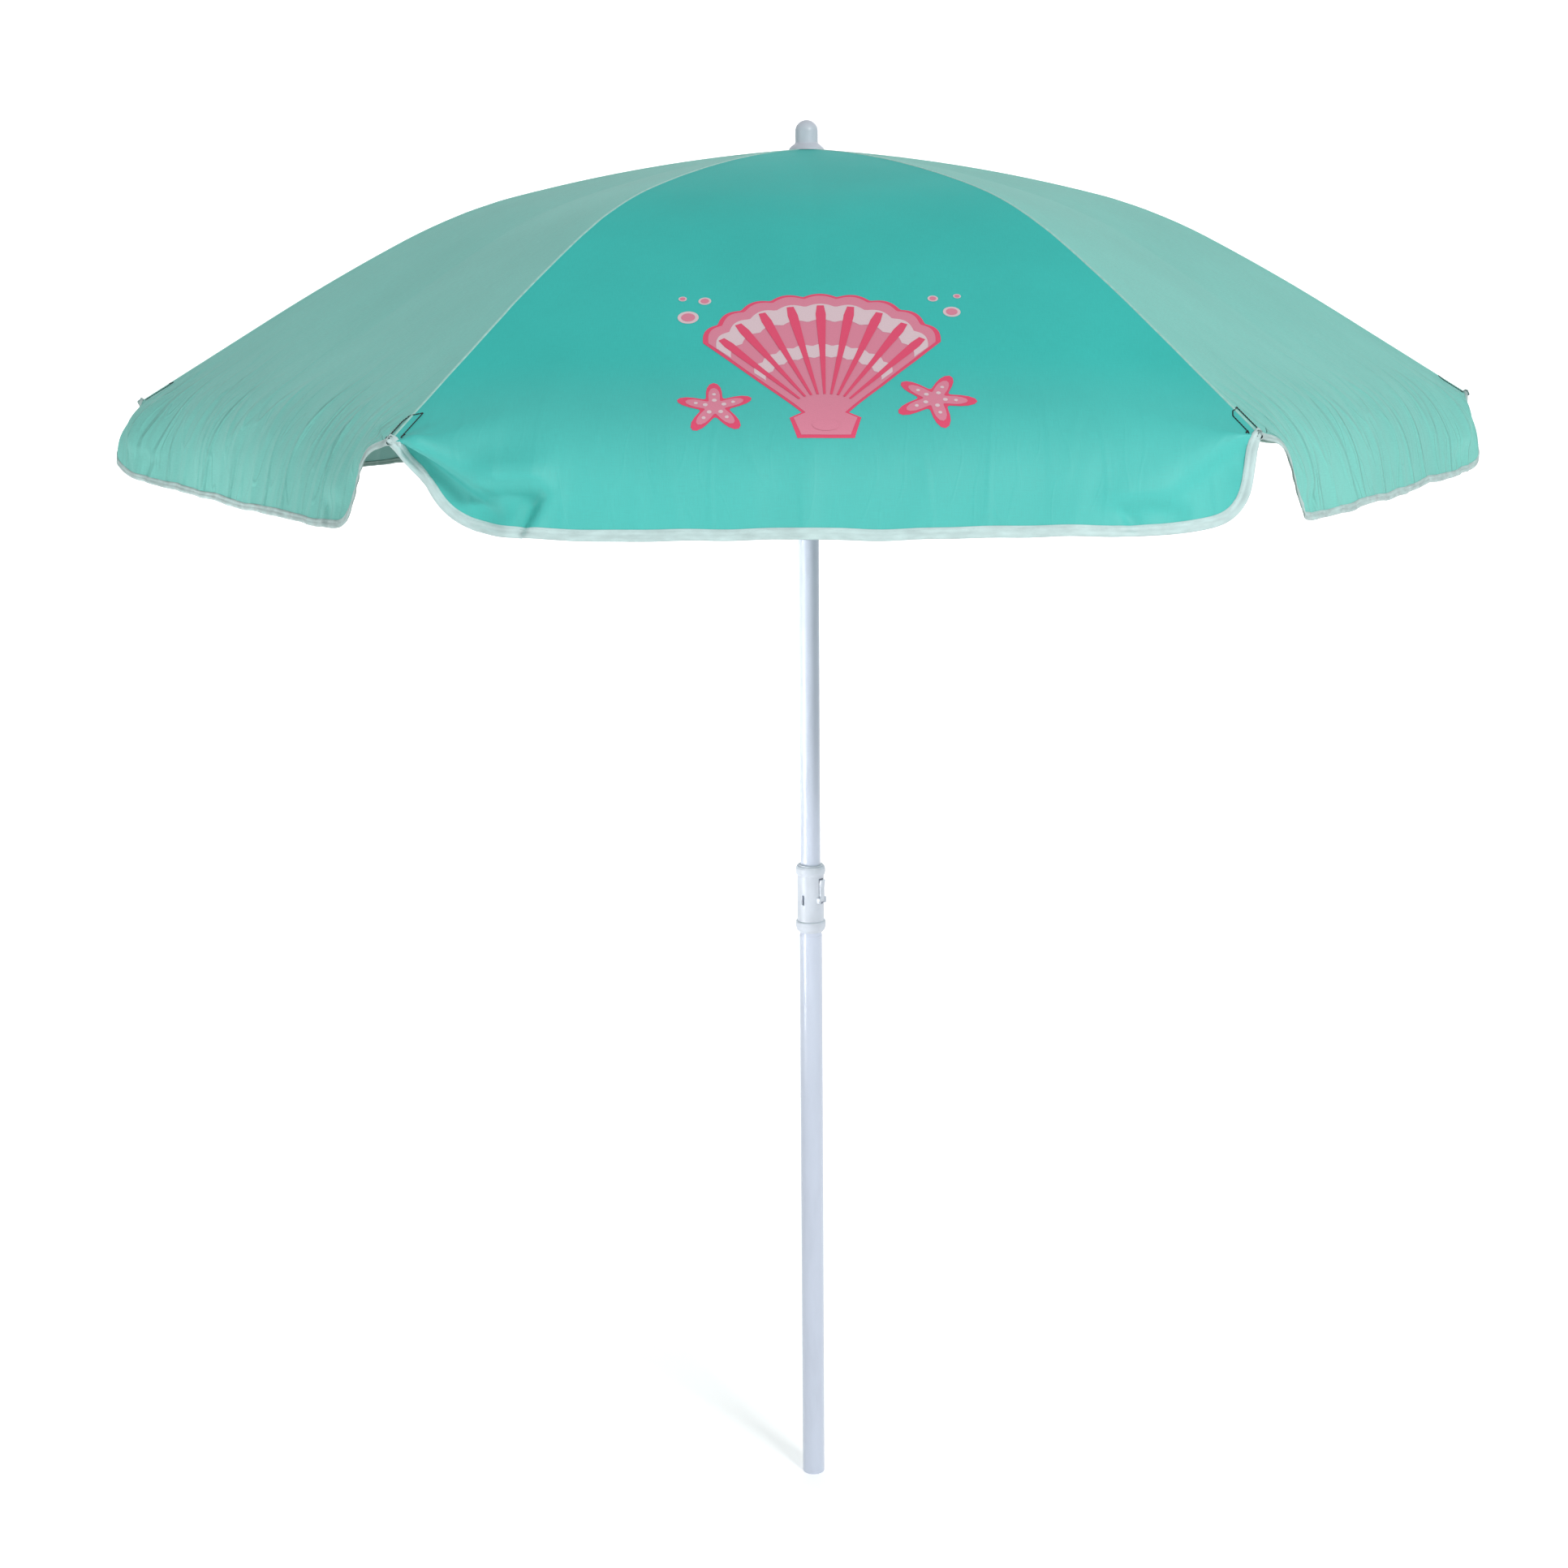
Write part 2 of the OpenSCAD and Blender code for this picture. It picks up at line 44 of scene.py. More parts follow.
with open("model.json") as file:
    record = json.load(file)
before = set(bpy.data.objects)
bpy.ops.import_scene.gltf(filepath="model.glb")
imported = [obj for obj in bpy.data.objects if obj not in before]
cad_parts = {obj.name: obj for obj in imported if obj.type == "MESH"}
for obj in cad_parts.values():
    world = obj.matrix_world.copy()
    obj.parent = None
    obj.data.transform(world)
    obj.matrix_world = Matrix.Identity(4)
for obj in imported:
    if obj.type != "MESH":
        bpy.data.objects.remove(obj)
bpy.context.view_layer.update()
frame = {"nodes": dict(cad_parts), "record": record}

MM = 0.001
RIBS = 6
SECTOR = math.radians(360 / RIBS)
HALVES = (("near", False), ("far", True))
FINIAL_STEM = 13
top = Vector((0, 0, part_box("finial_cap")[0].z + FINIAL_STEM * MM))
tip_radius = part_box("panel_1_near")[1].x / MM
half_span = tip_radius / 2


# --- Camera, floor and light -------------------------------------------------

def make_camera():
    """Stands a little left of the front, below the canopy's top, and looks slightly down."""
    bearing, distance, height = math.radians(-1.4), 2.4997, 1.3716
    pitch, roll = math.radians(12.43), math.radians(-0.31)
    data = bpy.data.cameras.new("camera")
    data.sensor_width = 36
    data.lens = 53.7
    data.shift_x = -0.0166
    camera = bpy.data.objects.new("camera", data)
    place = Matrix.Translation((distance * math.sin(bearing), -distance * math.cos(bearing), height))
    turn = Matrix.Rotation(bearing, 4, "Z") @ Matrix.Rotation(math.pi / 2 - pitch, 4, "X")
    camera.matrix_world = place @ turn @ Matrix.Rotation(roll, 4, "Z")
    bpy.context.scene.collection.objects.link(camera)
    bpy.context.scene.camera = camera


def make_light(name, place, target, size, power, spread=180):
    data = bpy.data.lights.new(name, "AREA")
    data.shape = "RECTANGLE"
    data.size, data.size_y = size
    data.energy = power
    data.spread = math.radians(spread)
    light = bpy.data.objects.new(name, data)
    light.location = place
    light.rotation_euler = (Vector(target) - Vector(place)).to_track_quat("-Z", "Y").to_euler()
    bpy.context.scene.collection.objects.link(light)


def make_studio():
    """A pale floor that curves up into a backdrop, and soft light from all round."""
    half, front, back, bend, height = 9.0, -9.0, 5.0, 2.0, 7.0
    outline = [(front, 0.0), (back - bend, 0.0)]
    outline += [(back - bend + bend * math.sin(a), bend - bend * math.cos(a))
                for a in np.linspace(0, math.pi / 2, 24)[1:]]
    outline += [(back, height)]
    mesh = bpy.data.meshes.new("floor")
    points = [(side * half, y, z) for y, z in outline for side in (-1, 1)]
    faces = [(2 * i, 2 * i + 1, 2 * i + 3, 2 * i + 2) for i in range(len(outline) - 1)]
    mesh.from_pydata(points, [], faces)
    mesh.shade_smooth()
    floor = bpy.data.objects.new("floor", mesh)
    bpy.context.scene.collection.objects.link(floor)
    paper = Look("floor_paper", (0.93, 0.93, 0.93), 0.9,
                 Emission_Color=(1, 1, 1, 1), Emission_Strength=0.3)
    paper.bump(paper.noise(paper.object_place(), 90, 3), 0.05, 0.001)
    mesh.materials.append(paper.material)
    world = bpy.data.worlds.new("studio")
    world.use_nodes = True
    sky = world.node_tree.nodes["Background"].inputs
    sky["Color"].default_value = (0.97, 0.98, 1, 1)
    sky["Strength"].default_value = 0.4
    bpy.context.scene.world = world
    bpy.context.scene.view_settings.view_transform = "Standard"
    make_light("key", (2.2, -3.6, 3.2), (0, 0, 1.1), (1.0, 0.8), 112)
    make_light("fill", (-3.2, -1.6, 1.3), (0, 0, 0.9), (1.2, 1.6), 23)
    make_light("pole_side", (-1.5, -0.7, 0.3), (0, 0, 1.05), (0.3, 0.5), 1.0, spread=28)
    make_light("backdrop", (0, 2.9, 3.6), (0, 5.0, 1.4), (7.0, 0.8), 100)


# --- Materials ---------------------------------------------------------------

WEAVE_PERIOD = 0.0007


class Look:
    """A material that is put together node by node, with its Principled shader."""

    def __init__(self, name, colour, roughness, **settings):
        self.name = name
        self.material = bpy.data.materials.new(name)
        self.material.use_nodes = True
        self.tree = self.material.node_tree
        self.colour = colour
        self.shader = self.tree.nodes["Principled BSDF"].inputs
        self.shader["Base Color"].default_value = (*colour, 1)
        self.shader["Roughness"].default_value = roughness
        for socket, value in settings.items():
            self.shader[socket.replace("_", " ")].default_value = value

    def node(self, kind, **values):
        node = self.tree.nodes.new(kind)
        for key, value in values.items():
            setattr(node, key, value)
        return node

    def put(self, value, socket):
        """Sets a socket to a number or a colour, or links it to another node's output."""
        if isinstance(value, (int, float)):
            socket.default_value = value
        elif isinstance(value, tuple):
            socket.default_value = (*value, 1)
        else:
            self.tree.links.new(value, socket)

    def object_place(self):
        return self.node("ShaderNodeTexCoord").outputs["Object"]

    def flat_place(self):
        """Where a point lies on the flat cloth, in metres, with one more value of its piece."""
        return self.node("ShaderNodeAttribute", attribute_name="flat").outputs["Vector"]

    def cloth_place(self):
        return self.stretched(self.flat_place(), (1, 1, 0))

    def part_of(self, place, axis):
        parts = self.node("ShaderNodeSeparateXYZ")
        self.put(place, parts.inputs["Vector"])
        return parts.outputs[axis]

    def stretched(self, place, scale):
        mapping = self.node("ShaderNodeMapping")
        mapping.inputs["Scale"].default_value = scale
        self.put(place, mapping.inputs["Vector"])
        return mapping.outputs["Vector"]

    def noise(self, place, scale=1.0, detail=2.0, roughness=0.5):
        """Noise of one scale, or of its own scale along each axis."""
        if isinstance(scale, tuple):
            place, scale = self.stretched(place, scale), 1.0
        node = self.node("ShaderNodeTexNoise")
        for socket, value in (("Scale", scale), ("Detail", detail), ("Roughness", roughness)):
            self.put(value, node.inputs[socket])
        self.put(place, node.inputs["Vector"])
        return node.outputs["Fac"]

    def waves(self, place, direction, period):
        """Parallel ridges of one period, in metres."""
        node = self.node("ShaderNodeTexWave", wave_type="BANDS", bands_direction=direction)
        node.inputs["Scale"].default_value = math.tau / 20 / period
        self.put(place, node.inputs["Vector"])
        return node.outputs["Fac"]

    def weave(self, place):
        return self.merged("MAXIMUM", self.waves(place, "X", WEAVE_PERIOD),
                         self.waves(place, "Y", WEAVE_PERIOD))

    def merged(self, operation, a, b):
        node = self.node("ShaderNodeMath", operation=operation)
        self.put(a, node.inputs[0])
        self.put(b, node.inputs[1])
        return node.outputs["Value"]

    def tones(self, value, low, dark, high, light):
        """The colour, from one shade of it where the value is low to another where it is high."""
        return self.ramp(value, [(low, shade(self.colour, dark)), (high, shade(self.colour, light))])

    def ramp(self, value, stops):
        node = self.node("ShaderNodeValToRGB")
        elements = node.color_ramp.elements
        while len(elements) < len(stops):
            elements.new(0.5)
        for element, (position, colour) in zip(elements, stops):
            element.position = position
            element.color = (*colour, 1)
        self.put(value, node.inputs["Fac"])
        return node.outputs["Color"]

    def span(self, value, low, high, start=0.0, end=1.0, curve="LINEAR"):
        """Turns a value from start to end into one from low to high."""
        node = self.node("ShaderNodeMapRange", interpolation_type=curve)
        for socket, limit in (("From Min", start), ("From Max", end), ("To Min", low), ("To Max", high)):
            self.put(limit, node.inputs[socket])
        self.put(value, node.inputs["Value"])
        return node.outputs["Result"]

    def mixed(self, amount, a, b, blend="MIX"):
        node = self.node("ShaderNodeMix", data_type="RGBA", blend_type=blend)
        for socket, value in ((0, amount), (6, a), (7, b)):
            self.put(value, node.inputs[socket])
        return node.outputs[2]

    def paint(self, colour):
        self.put(colour, self.shader["Base Color"])

    def gloss(self, value, low, high):
        """Roughness from low to high."""
        self.put(self.span(value, low, high), self.shader["Roughness"])

    def bump(self, height, strength, distance):
        """Adds relief to what there already is."""
        node = self.node("ShaderNodeBump")
        for socket, value in (("Strength", strength), ("Distance", distance), ("Height", height)):
            self.put(value, node.inputs[socket])
        before = self.shader["Normal"].links
        if before:
            self.put(before[0].from_socket, node.inputs["Normal"])
        self.put(node.outputs["Normal"], self.shader["Normal"])

    def crease_lines(self, place, scale, width):
        """Thin ridges that wander along the cloth, where a stretched noise passes its middle value."""
        field = self.noise(place, scale, 1.0)
        off = self.merged("ABSOLUTE", self.merged("SUBTRACT", field, 0.5), 0.0)
        return self.span(off, 1.0, 0.0, 0.0, width, "SMOOTHSTEP")

    def on_valance(self, place):
        """1 on the valance, and falling to 0 up the slope."""
        return self.span(self.part_of(place, "Y"), 0.0, 1.0, -0.12, -0.005, "SMOOTHSTEP")


def shade(colour, factor):
    return tuple(min(1.0, c * factor) for c in colour)


# Painted shade: a darker, greyer colour for the back of the cloth, where it lies in the shade under the
# canopy
UNDERSIDE_SHADE = (0.13, 0.22, 0.19)


def cloth_material(name, colour, heather, crease, slope_gloss, valance_gloss):
    """Plain woven polyester: crossed threads, uneven yarn, slow changes of tone, and painted shade on its
    back.
    """
    look = Look(name, colour, 0.62, Sheen_Weight=0.01, Sheen_Roughness=0.5)
    place = look.cloth_place()
    warp, weft = look.noise(place, (2200, 90, 1)), look.noise(place, (90, 2200, 1))
    yarn = look.merged("MULTIPLY", look.merged("ADD", warp, weft), 0.5)
    tone = look.tones(look.noise(place, 5.5, 3), 0.3, 0.95, 0.7, 1.04)
    threads = look.ramp(yarn, [(0.35, (1 - heather,) * 3), (0.65, (1 + heather,) * 3)])
    front = look.mixed(1.0, tone, threads, "MULTIPLY")
    # The back faces get painted shade, three quarters of the way to the grey-green shade colour
    back = look.mixed(0.75, front, UNDERSIDE_SHADE)
    side = look.node("ShaderNodeNewGeometry").outputs["Backfacing"]
    look.paint(look.mixed(side, front, back))
    look.gloss(yarn, 0.52, 0.74)
    look.bump(look.merged("ADD", look.merged("MULTIPLY", look.weave(place), 0.4), yarn), 0.22, 0.0003)
    long = look.crease_lines(place, (15, 3.0, 1), 0.04)
    short = look.crease_lines(place, (31, 9, 1), 0.03)
    creases = look.merged("ADD", long, look.merged("MULTIPLY", short, 0.35))
    low = look.on_valance(place)
    look.bump(look.merged("MULTIPLY", creases, look.span(low, 0.06, 1)), crease, 0.0016)
    look.put(look.span(low, slope_gloss, valance_gloss), look.shader["Specular IOR Level"])
    return look


def tape_material(name, colour, uneven=0.12):
    """Folded ribbon with a ribbed weave across it, thin enough for the cloth to tint it.

    The leaf inside the hem, where the third value of its place is 1, gets the same painted shade as the
    cloth's back.
    """
    look = Look(name, colour, 0.6, Sheen_Weight=0.15, Sheen_Roughness=0.4)
    place = look.cloth_place()
    blotch = look.noise(place, (60, 200, 1), 3)
    tone = look.tones(blotch, 0.3, 1 - uneven, 0.72, 1.12)
    # The leaf inside the hem gets the painted shade of the cloth's underside
    look.paint(look.mixed(look.part_of(look.flat_place(), "Z"), tone, UNDERSIDE_SHADE))
    ribs = look.merged("MULTIPLY", look.waves(place, "X", 0.0009), 0.15)
    look.bump(look.merged("ADD", ribs, blotch), 0.3, 0.0003)
    look.gloss(blotch, 0.45, 0.65)
    return look


def print_material(name, colour):
    """Ink printed through a screen: the weave shows in it and it has small thin spots."""
    look = Look(name, colour, 0.5, Specular_IOR_Level=0.35)
    place = look.cloth_place()
    specks = look.noise(place, 900, 2, 0.6)
    look.paint(look.tones(specks, 0.25, 0.93, 0.6, 1))
    look.bump(look.weave(place), 0.2, 0.0002)
    look.gloss(specks, 0.42, 0.58)
    return look


def paint_material(name, colour):
    """Powder coat on steel tube: orange peel, faint rubbed rings and a few dull marks."""
    look = Look(name, colour, 0.3, Coat_Weight=0.25, Coat_Roughness=0.2)
    place = look.object_place()
    marks = look.noise(place, (45, 45, 9), 4, 0.6)
    look.paint(look.ramp(marks, [(0.28, shade(colour, 0.93)), (0.5, colour), (0.8, shade(colour, 1.05))]))
    look.gloss(look.noise(place, (20, 20, 420), 3), 0.22, 0.44)
    look.bump(look.noise(place, 700), 0.12, 0.0004)
    return look


def plastic_material(name, colour, roughness=0.38):
    """Injection moulded plastic: fine mould grain, flow clouds and scuffed spots."""
    look = Look(name, colour, roughness, Subsurface_Weight=0.12, Subsurface_Scale=0.004,
                Subsurface_Radius=(0.9, 1.0, 1.1))
    place = look.object_place()
    scuffs = look.noise(place, 160, 4, 0.65)
    look.paint(look.tones(look.noise(place, (55, 55, 30), 3), 0.3, 0.93, 0.7, 1.04))
    look.gloss(scuffs, roughness - 0.1, roughness + 0.16)
    look.bump(look.merged("ADD", look.noise(place, 2600), scuffs), 0.1, 0.0003)
    return look


def metal_material(name, colour, roughness, streaks, spangle):
    """Drawn or plated steel: streaks along the wire and a mottled zinc bloom."""
    look = Look(name, colour, roughness, Metallic=0.9)
    place = look.object_place()
    bloom = look.noise(place, spangle, 4, 0.6)
    look.paint(look.tones(bloom, 0.3, 0.78, 0.62, 1))
    look.gloss(bloom, roughness - 0.1, roughness + 0.2)
    look.bump(look.merged("ADD", look.noise(place, streaks, 3), bloom), 0.15, 0.0003)
    return look


def thread_material(name, colour):
    """Twisted sewing thread."""
    look = Look(name, colour, 0.6, Sheen_Weight=0.05)
    twist = look.noise(look.object_place(), 2400)
    look.paint(look.tones(twist, 0.3, 0.7, 0.7, 1.3))
    look.bump(twist, 0.4, 0.0002)
    return look


TEAL = (0.048, 0.50, 0.452)
MINT = (0.18, 0.56, 0.49)
looks = {look.name: look.material for look in (
    cloth_material("teal_cloth", TEAL, heather=0.05, crease=0.12, slope_gloss=0.12, valance_gloss=0.85),
    cloth_material("mint_cloth", MINT, heather=0.09, crease=1.1, slope_gloss=0.45, valance_gloss=0.45),
    tape_material("binding_tape", (0.50, 0.655, 0.645)),
    tape_material("side_tape", (0.44, 0.59, 0.57), uneven=0.3),
    tape_material("seam_tape", (0.34, 0.62, 0.56)),
    paint_material("pole_paint", (0.55, 0.60, 0.71)),
    plastic_material("white_plastic", (0.56, 0.60, 0.665)),
    metal_material("galvanised_wire", (0.60, 0.62, 0.65), 0.36, streaks=(300, 300, 300), spangle=260),
    metal_material("plated_steel", (0.72, 0.73, 0.75), 0.24, streaks=(60, 60, 900), spangle=500),
    thread_material("black_thread", (0.008, 0.011, 0.012)),
)}
inks = [print_material(name, colour).material
        for name, colour in (("ink_pink", (0.70, 0.235, 0.33)), ("ink_rose", (0.76, 0.075, 0.165)),
                             ("ink_pale", (0.72, 0.56, 0.60)))]


# --- Carried-over CAD nodes --------------------------------------------------

def dress_cad_nodes():
    """Gives the CAD nodes their materials, and rounds the sharp edges of the moulded ones."""
    slots = {part["node"]: part["material_slot"] for part in frame["record"]["subparts"]}
    for name, node in frame["nodes"].items():
        if name.startswith("panel_"):
            continue
        slot = slots[name]
        node.data.materials.clear()
        node.data.materials.append(looks[slot])
        if slot == "white_plastic":
            rounding = node.modifiers.new("rounding", "BEVEL")
            rounding.width = 0.35 * MM
            rounding.segments = 2
            rounding.limit_method = "ANGLE"
            rounding.angle_limit = math.radians(35)


# --- The cloth's shape -------------------------------------------------------

# Radius and slope of the cloth over a rib, with circular arcs in between
STATIONS = [(0, 3.5), (0.425 * tip_radius, 14), (0.6 * tip_radius, 27), (0.8 * tip_radius, 31),
            (tip_radius, 31)]
HOLE_RADIUS = 6
VALANCE_DROP = 80
NOTCH_DEPTH = 3
VALANCE_FLARE = 17
FILLET = 52
SAG = 5
# How a panel's valance hangs at one corner: how far it leans out, the distance from the rib where
# it does so in full, the width of the notch's arch, how sharply the arch turns into the hem, and
# how near the top of the valance the lean starts
Corner = namedtuple("Corner", "lean rise width sharp bulge", defaults=(1,))
LOOSE = Corner(24, 26, 20, 1.5)
CORNERS = [(LOOSE, Corner(30, 30, 22, 1.6)), (Corner(20, 22, 20, 1.5), LOOSE),
           (LOOSE, Corner(22, 30, 20, 1.7)), (Corner(41, 50, 26, 1.0, 3), Corner(22, 55, 49, 3.4)),
           (Corner(-22, 15, 17, 0.9), Corner(8, 14, 9, 0.82)),
           (Corner(22, 50, 47, 3.6), Corner(27, 44, 18, 1.5, 3))]
APEX_ROUND = 5
# How much more than the others each panel's valance hangs down, in mm
EXTRA_DROP = [-8, 0, 17, 0, 0, 0]
# The side on which two panels stand proud beside their seam
PUFFED = {0: -1, 2: 1}


def smooth(t):
    t = np.clip(t, 0, 1)
    return t * t * (3 - 2 * t)


def cloth_height(r):
    """Height of the cloth over a rib at radius r: 0 at the top, where it is pinched up a little."""
    height = 0.7 * np.exp(-(r / 13) ** 2)
    for (ra, a), (rb, b) in zip(STATIONS, STATIONS[1:]):
        a, b = math.radians(a), math.radians(b)
        inside = np.clip(r, ra, rb) - ra
        slope = np.arcsin(math.sin(a) + inside * (math.sin(b) - math.sin(a)) / (rb - ra))
        height = height - inside * np.tan((a + slope) / 2)
    return height


def chord_point(r, share):
    """Point on the straight line between two ribs at radius r: share is 1 at its middle."""
    return np.stack([r * (1 - share / 4), r * share * math.sqrt(3) / 4, cloth_height(r)], -1)


class Hem(namedtuple("Hem", "wave corner slow")):
    """How one half of a panel's valance hangs: its ripple, its corner, and its late share."""

    def drop(self, u):
        """Depth of the valance at distance u from the rib tip: an arch, then a slow fall."""
        past_apex = np.hypot(u, APEX_ROUND) - APEX_ROUND
        arch = 1 - np.exp(-(past_apex / self.corner.width) ** self.corner.sharp)
        share = (1 - self.slow) * arch + self.slow * (1 - np.exp(-u / 110))
        return NOTCH_DEPTH + (VALANCE_DROP - NOTCH_DEPTH + self.wave * smooth(u / 90)) * share

    def point(self, share, down):
        """Point part of the way down from the rib tips' line, at a share of the half panel."""
        u = share * half_span
        turn = SECTOR / 2 * share
        rise = self.corner.rise
        near = smooth(u / rise) * (1 - smooth((u - rise) / 120))
        lean = self.corner.lean * (1 - (1 - down) ** self.corner.bulge)
        flare = down * VALANCE_FLARE * smooth(u / 60) * (1 - near) + lean * near
        offset = np.stack([np.cos(turn) * flare, np.sin(turn) * flare, -self.drop(u) * down], -1)
        return chord_point(np.full_like(share, tip_radius), share) + offset


# Columns of half a panel by their distance from the rib, close together where the notch curves
NOTCH_REACH = 54
FAR_COLUMNS = np.linspace(NOTCH_REACH, half_span, 96)
SHARES = np.concatenate([np.arange(0, NOTCH_REACH, 3.0), FAR_COLUMNS]) / half_span
SLOPE_ROWS = 58
FILLET_ROWS = 10
VALANCE_ROWS = 12


def half_grid(hem):
    """Points of half a panel in its rib's frame, row by row from the top to the hem."""
    share = SHARES
    u = share * half_span
    back = FILLET * smooth(u / 120)
    depth = hem.drop(u)
    rows = []
    for q in np.linspace(0, 1, SLOPE_ROWS):
        rows.append(chord_point(HOLE_RADIUS + (tip_radius - back - HOLE_RADIUS) * q, share))
    start, corner = rows[-1], chord_point(np.full_like(share, tip_radius), share)
    low = np.minimum(back / depth, 0.55)
    end = hem.point(share, low)
    for t in np.linspace(0, 1, FILLET_ROWS + 1)[1:]:
        rows.append(start * (1 - t) ** 2 + corner * 2 * t * (1 - t) + end * t * t)
    for t in np.linspace(0, 1, VALANCE_ROWS + 1)[1:]:
        rows.append(hem.point(share, low + (1 - low) * t))
    return np.array(rows)


def to_row_frame(points, rib, far):
    """Turns points from the rib's frame, in mm, to the row frame, in metres."""
    p = points * MM
    if far:
        p = p * np.array([1, -1, 1])
    c, s = math.cos(rib * SECTOR), math.sin(rib * SECTOR)
    turned = np.stack([p[..., 0] * c - p[..., 1] * s, p[..., 0] * s + p[..., 1] * c, p[..., 2]], -1)
    return turned + np.array(top)


def unit(vectors):
    return vectors / np.maximum(np.linalg.norm(vectors, axis=-1, keepdims=True), 1e-12)


def grid_normals(points):
    return unit(np.cross(np.gradient(points, axis=0), np.gradient(points, axis=1)))


def line_at(grid, place):
    """A row of a grid at a place between two whole rows."""
    i = min(int(place), len(grid) - 2)
    f = place - i
    return grid[i] * (1 - f) + grid[i + 1] * f


def fold(off, width):
    """Section across a hanging fold, in mm: a ridge, then a valley that is wider below."""
    below = np.where(off > 0, 2.6, 1.0)
    valley = -10.0 * np.exp(-(off / (width * below)) ** 2)
    return valley + 6.0 * np.exp(-((off + 2.2 * width) / (1.9 * width)) ** 2)


FRONT = 4
PANEL_SEED = 40


class Panel:
    """One panel of cloth between rib k and the next, as a grid with its normals.

    x is the distance from the panel's middle on the rib tips' line, and s the distance down
    the cloth from that line, both in mm.
    """

    def __init__(self, k):
        self.k = k
        self.front = k == FRONT
        random = np.random.default_rng(PANEL_SEED + k)
        self.pleats = self.make_pleats(random)
        self.ripple = random.uniform(0, math.tau, 6)
        share = np.concatenate([SHARES, SHARES[-2::-1]])
        self.middle = len(SHARES) - 1
        side = np.where(np.arange(len(share)) <= self.middle, -1, 1)
        self.x = side * (1 - share) * half_span
        wave = self.hem_wave(self.x) + EXTRA_DROP[k]
        slow = 0.06 if self.front else 0.12
        left, right = CORNERS[k]
        near = to_row_frame(half_grid(Hem(wave[: self.middle + 1], left, slow)), k, False)
        far = to_row_frame(half_grid(Hem(wave[self.middle:][::-1], right, slow)), k + 1, True)
        points = np.concatenate([near, far[:, -2::-1]], axis=1)
        steps = np.linalg.norm(np.diff(points, axis=0), axis=-1) / MM
        length = np.concatenate([np.zeros((1, points.shape[1])), np.cumsum(steps, axis=0)])
        tip_row = SLOPE_ROWS - 1 + FILLET_ROWS // 2
        self.s = length - length[tip_row]
        self.lateral = self.lateral_distance(points)
        points = points + grid_normals(points) * self.relief(share)[..., None] * MM
        self.points, self.normals = points, grid_normals(points)

    def lateral_distance(self, points):
        """Distance of each point from the panel's middle, measured along its row."""
        steps = np.linalg.norm(np.diff(points, axis=1), axis=-1) / MM
        length = np.concatenate([np.zeros((len(points), 1)), np.cumsum(steps, axis=1)], axis=1)
        return length - length[:, self.middle: self.middle + 1]

    def make_pleats(self, random):
        """Creases of the valance: place, width, height, lean, and how far up the slope they run."""
        count, tall, reach = (9, 1.1, (-5, 30)) if self.front else (21, 3.2, (35, 120))
        places = np.linspace(-300, 300, count) + random.uniform(-16, 16, count)
        return [(place, random.uniform(3, 9), tall * random.uniform(0.35, 1),
                 -place * 0.0011 + random.uniform(-0.16, 0.16), random.uniform(*reach))
                for place in places]

    def hem_wave(self, x):
        high = 0.6 if self.k in (FRONT - 1, FRONT) else 1.0
        a, b, c = self.ripple[:3]
        return high * (np.sin(x / 31 + a) + 0.6 * np.sin(x / 17 + b) + 0.4 * np.sin(x / 9.5 + c))

    def relief(self, share):
        """How far the cloth stands off its smooth shape, in mm."""
        x, s = np.broadcast_to(self.x, self.s.shape), self.s
        a, b, c = self.ripple[3:]
        valance = smooth((s + 45) / 90)
        total = np.zeros_like(s)
        for place, width, height, lean, reach in self.pleats:
            off = x - place - lean * s
            edge = np.sqrt(off * off + 1.2) - 1.1
            crease = np.exp(-edge / np.where(off > 0, width, width * 2.2))
            total += height * crease * smooth((s + reach) / (reach + (60 if self.front else 25)))
        total -= total.mean()
        swell = np.sin(x / 27 + a) * 0.7 + np.sin(x / 44 + b + s / 60) * 1.1
        total += (0.5 if self.front else 0.9) * swell * valance
        total += 0.16 * np.sin(x / 8.5 + 3 * np.sin(s / 70 + c)) * smooth((s + 260) / 200)
        for side in (-1, 1):
            total += self.corner_fold(x, s, side)
        slope = smooth((s + 640) / 300) * smooth(-(s - 10) / 160)
        total -= SAG * share[None, :] ** 1.5 * slope
        total += self.seam_pull(s, share)
        if self.k in PUFFED:
            u = half_span - PUFFED[self.k] * x
            total += 3.2 * np.exp(-((u - 17) / 13) ** 2) * slope
        return total * smooth(share * half_span / 16)[None, :]

    def corner_fold(self, x, s, side):
        """A fold that hangs from the rib tip, runs on as a shelf, and turns down to the hem."""
        deep = self.front and side < 0
        shelf_depth = 46 if deep else 62
        fall, shelf, turn = (1.2, 1.0, 0.6) if deep else (0.25, 0.5 if self.front else 0.2, 0.2)
        u = half_span - side * x
        along, off = u * 0.8 + s * 0.6, -u * 0.6 + s * 0.8
        fade = smooth((along - 2) / 16) * smooth((118 - along) / 50)
        total = fall * fade * fold(off, 3.6 + 0.07 * np.maximum(along, 0))
        fade = smooth((u - 52) / 34) * smooth((142 - u) / 34)
        total += shelf * fade * fold(s - shelf_depth - 3 * np.sin(u / 18), 7.5)
        fade = smooth((s - shelf_depth + 8) / 14)
        return total + turn * fade * fold(140 - 0.44 * s - u, 4.5)

    def seam_pull(self, s, share):
        """Small gathers that run out from each seam, where the stitches pull the cloth."""
        u = share[None, :] * half_span
        pull = np.sin(s / 4.6 + 1.3 * np.sin(s / 19)) * np.exp(-u / 16)
        return 0.22 * pull * smooth((s + 620) / 80) * smooth(-(s + 6) / 20)

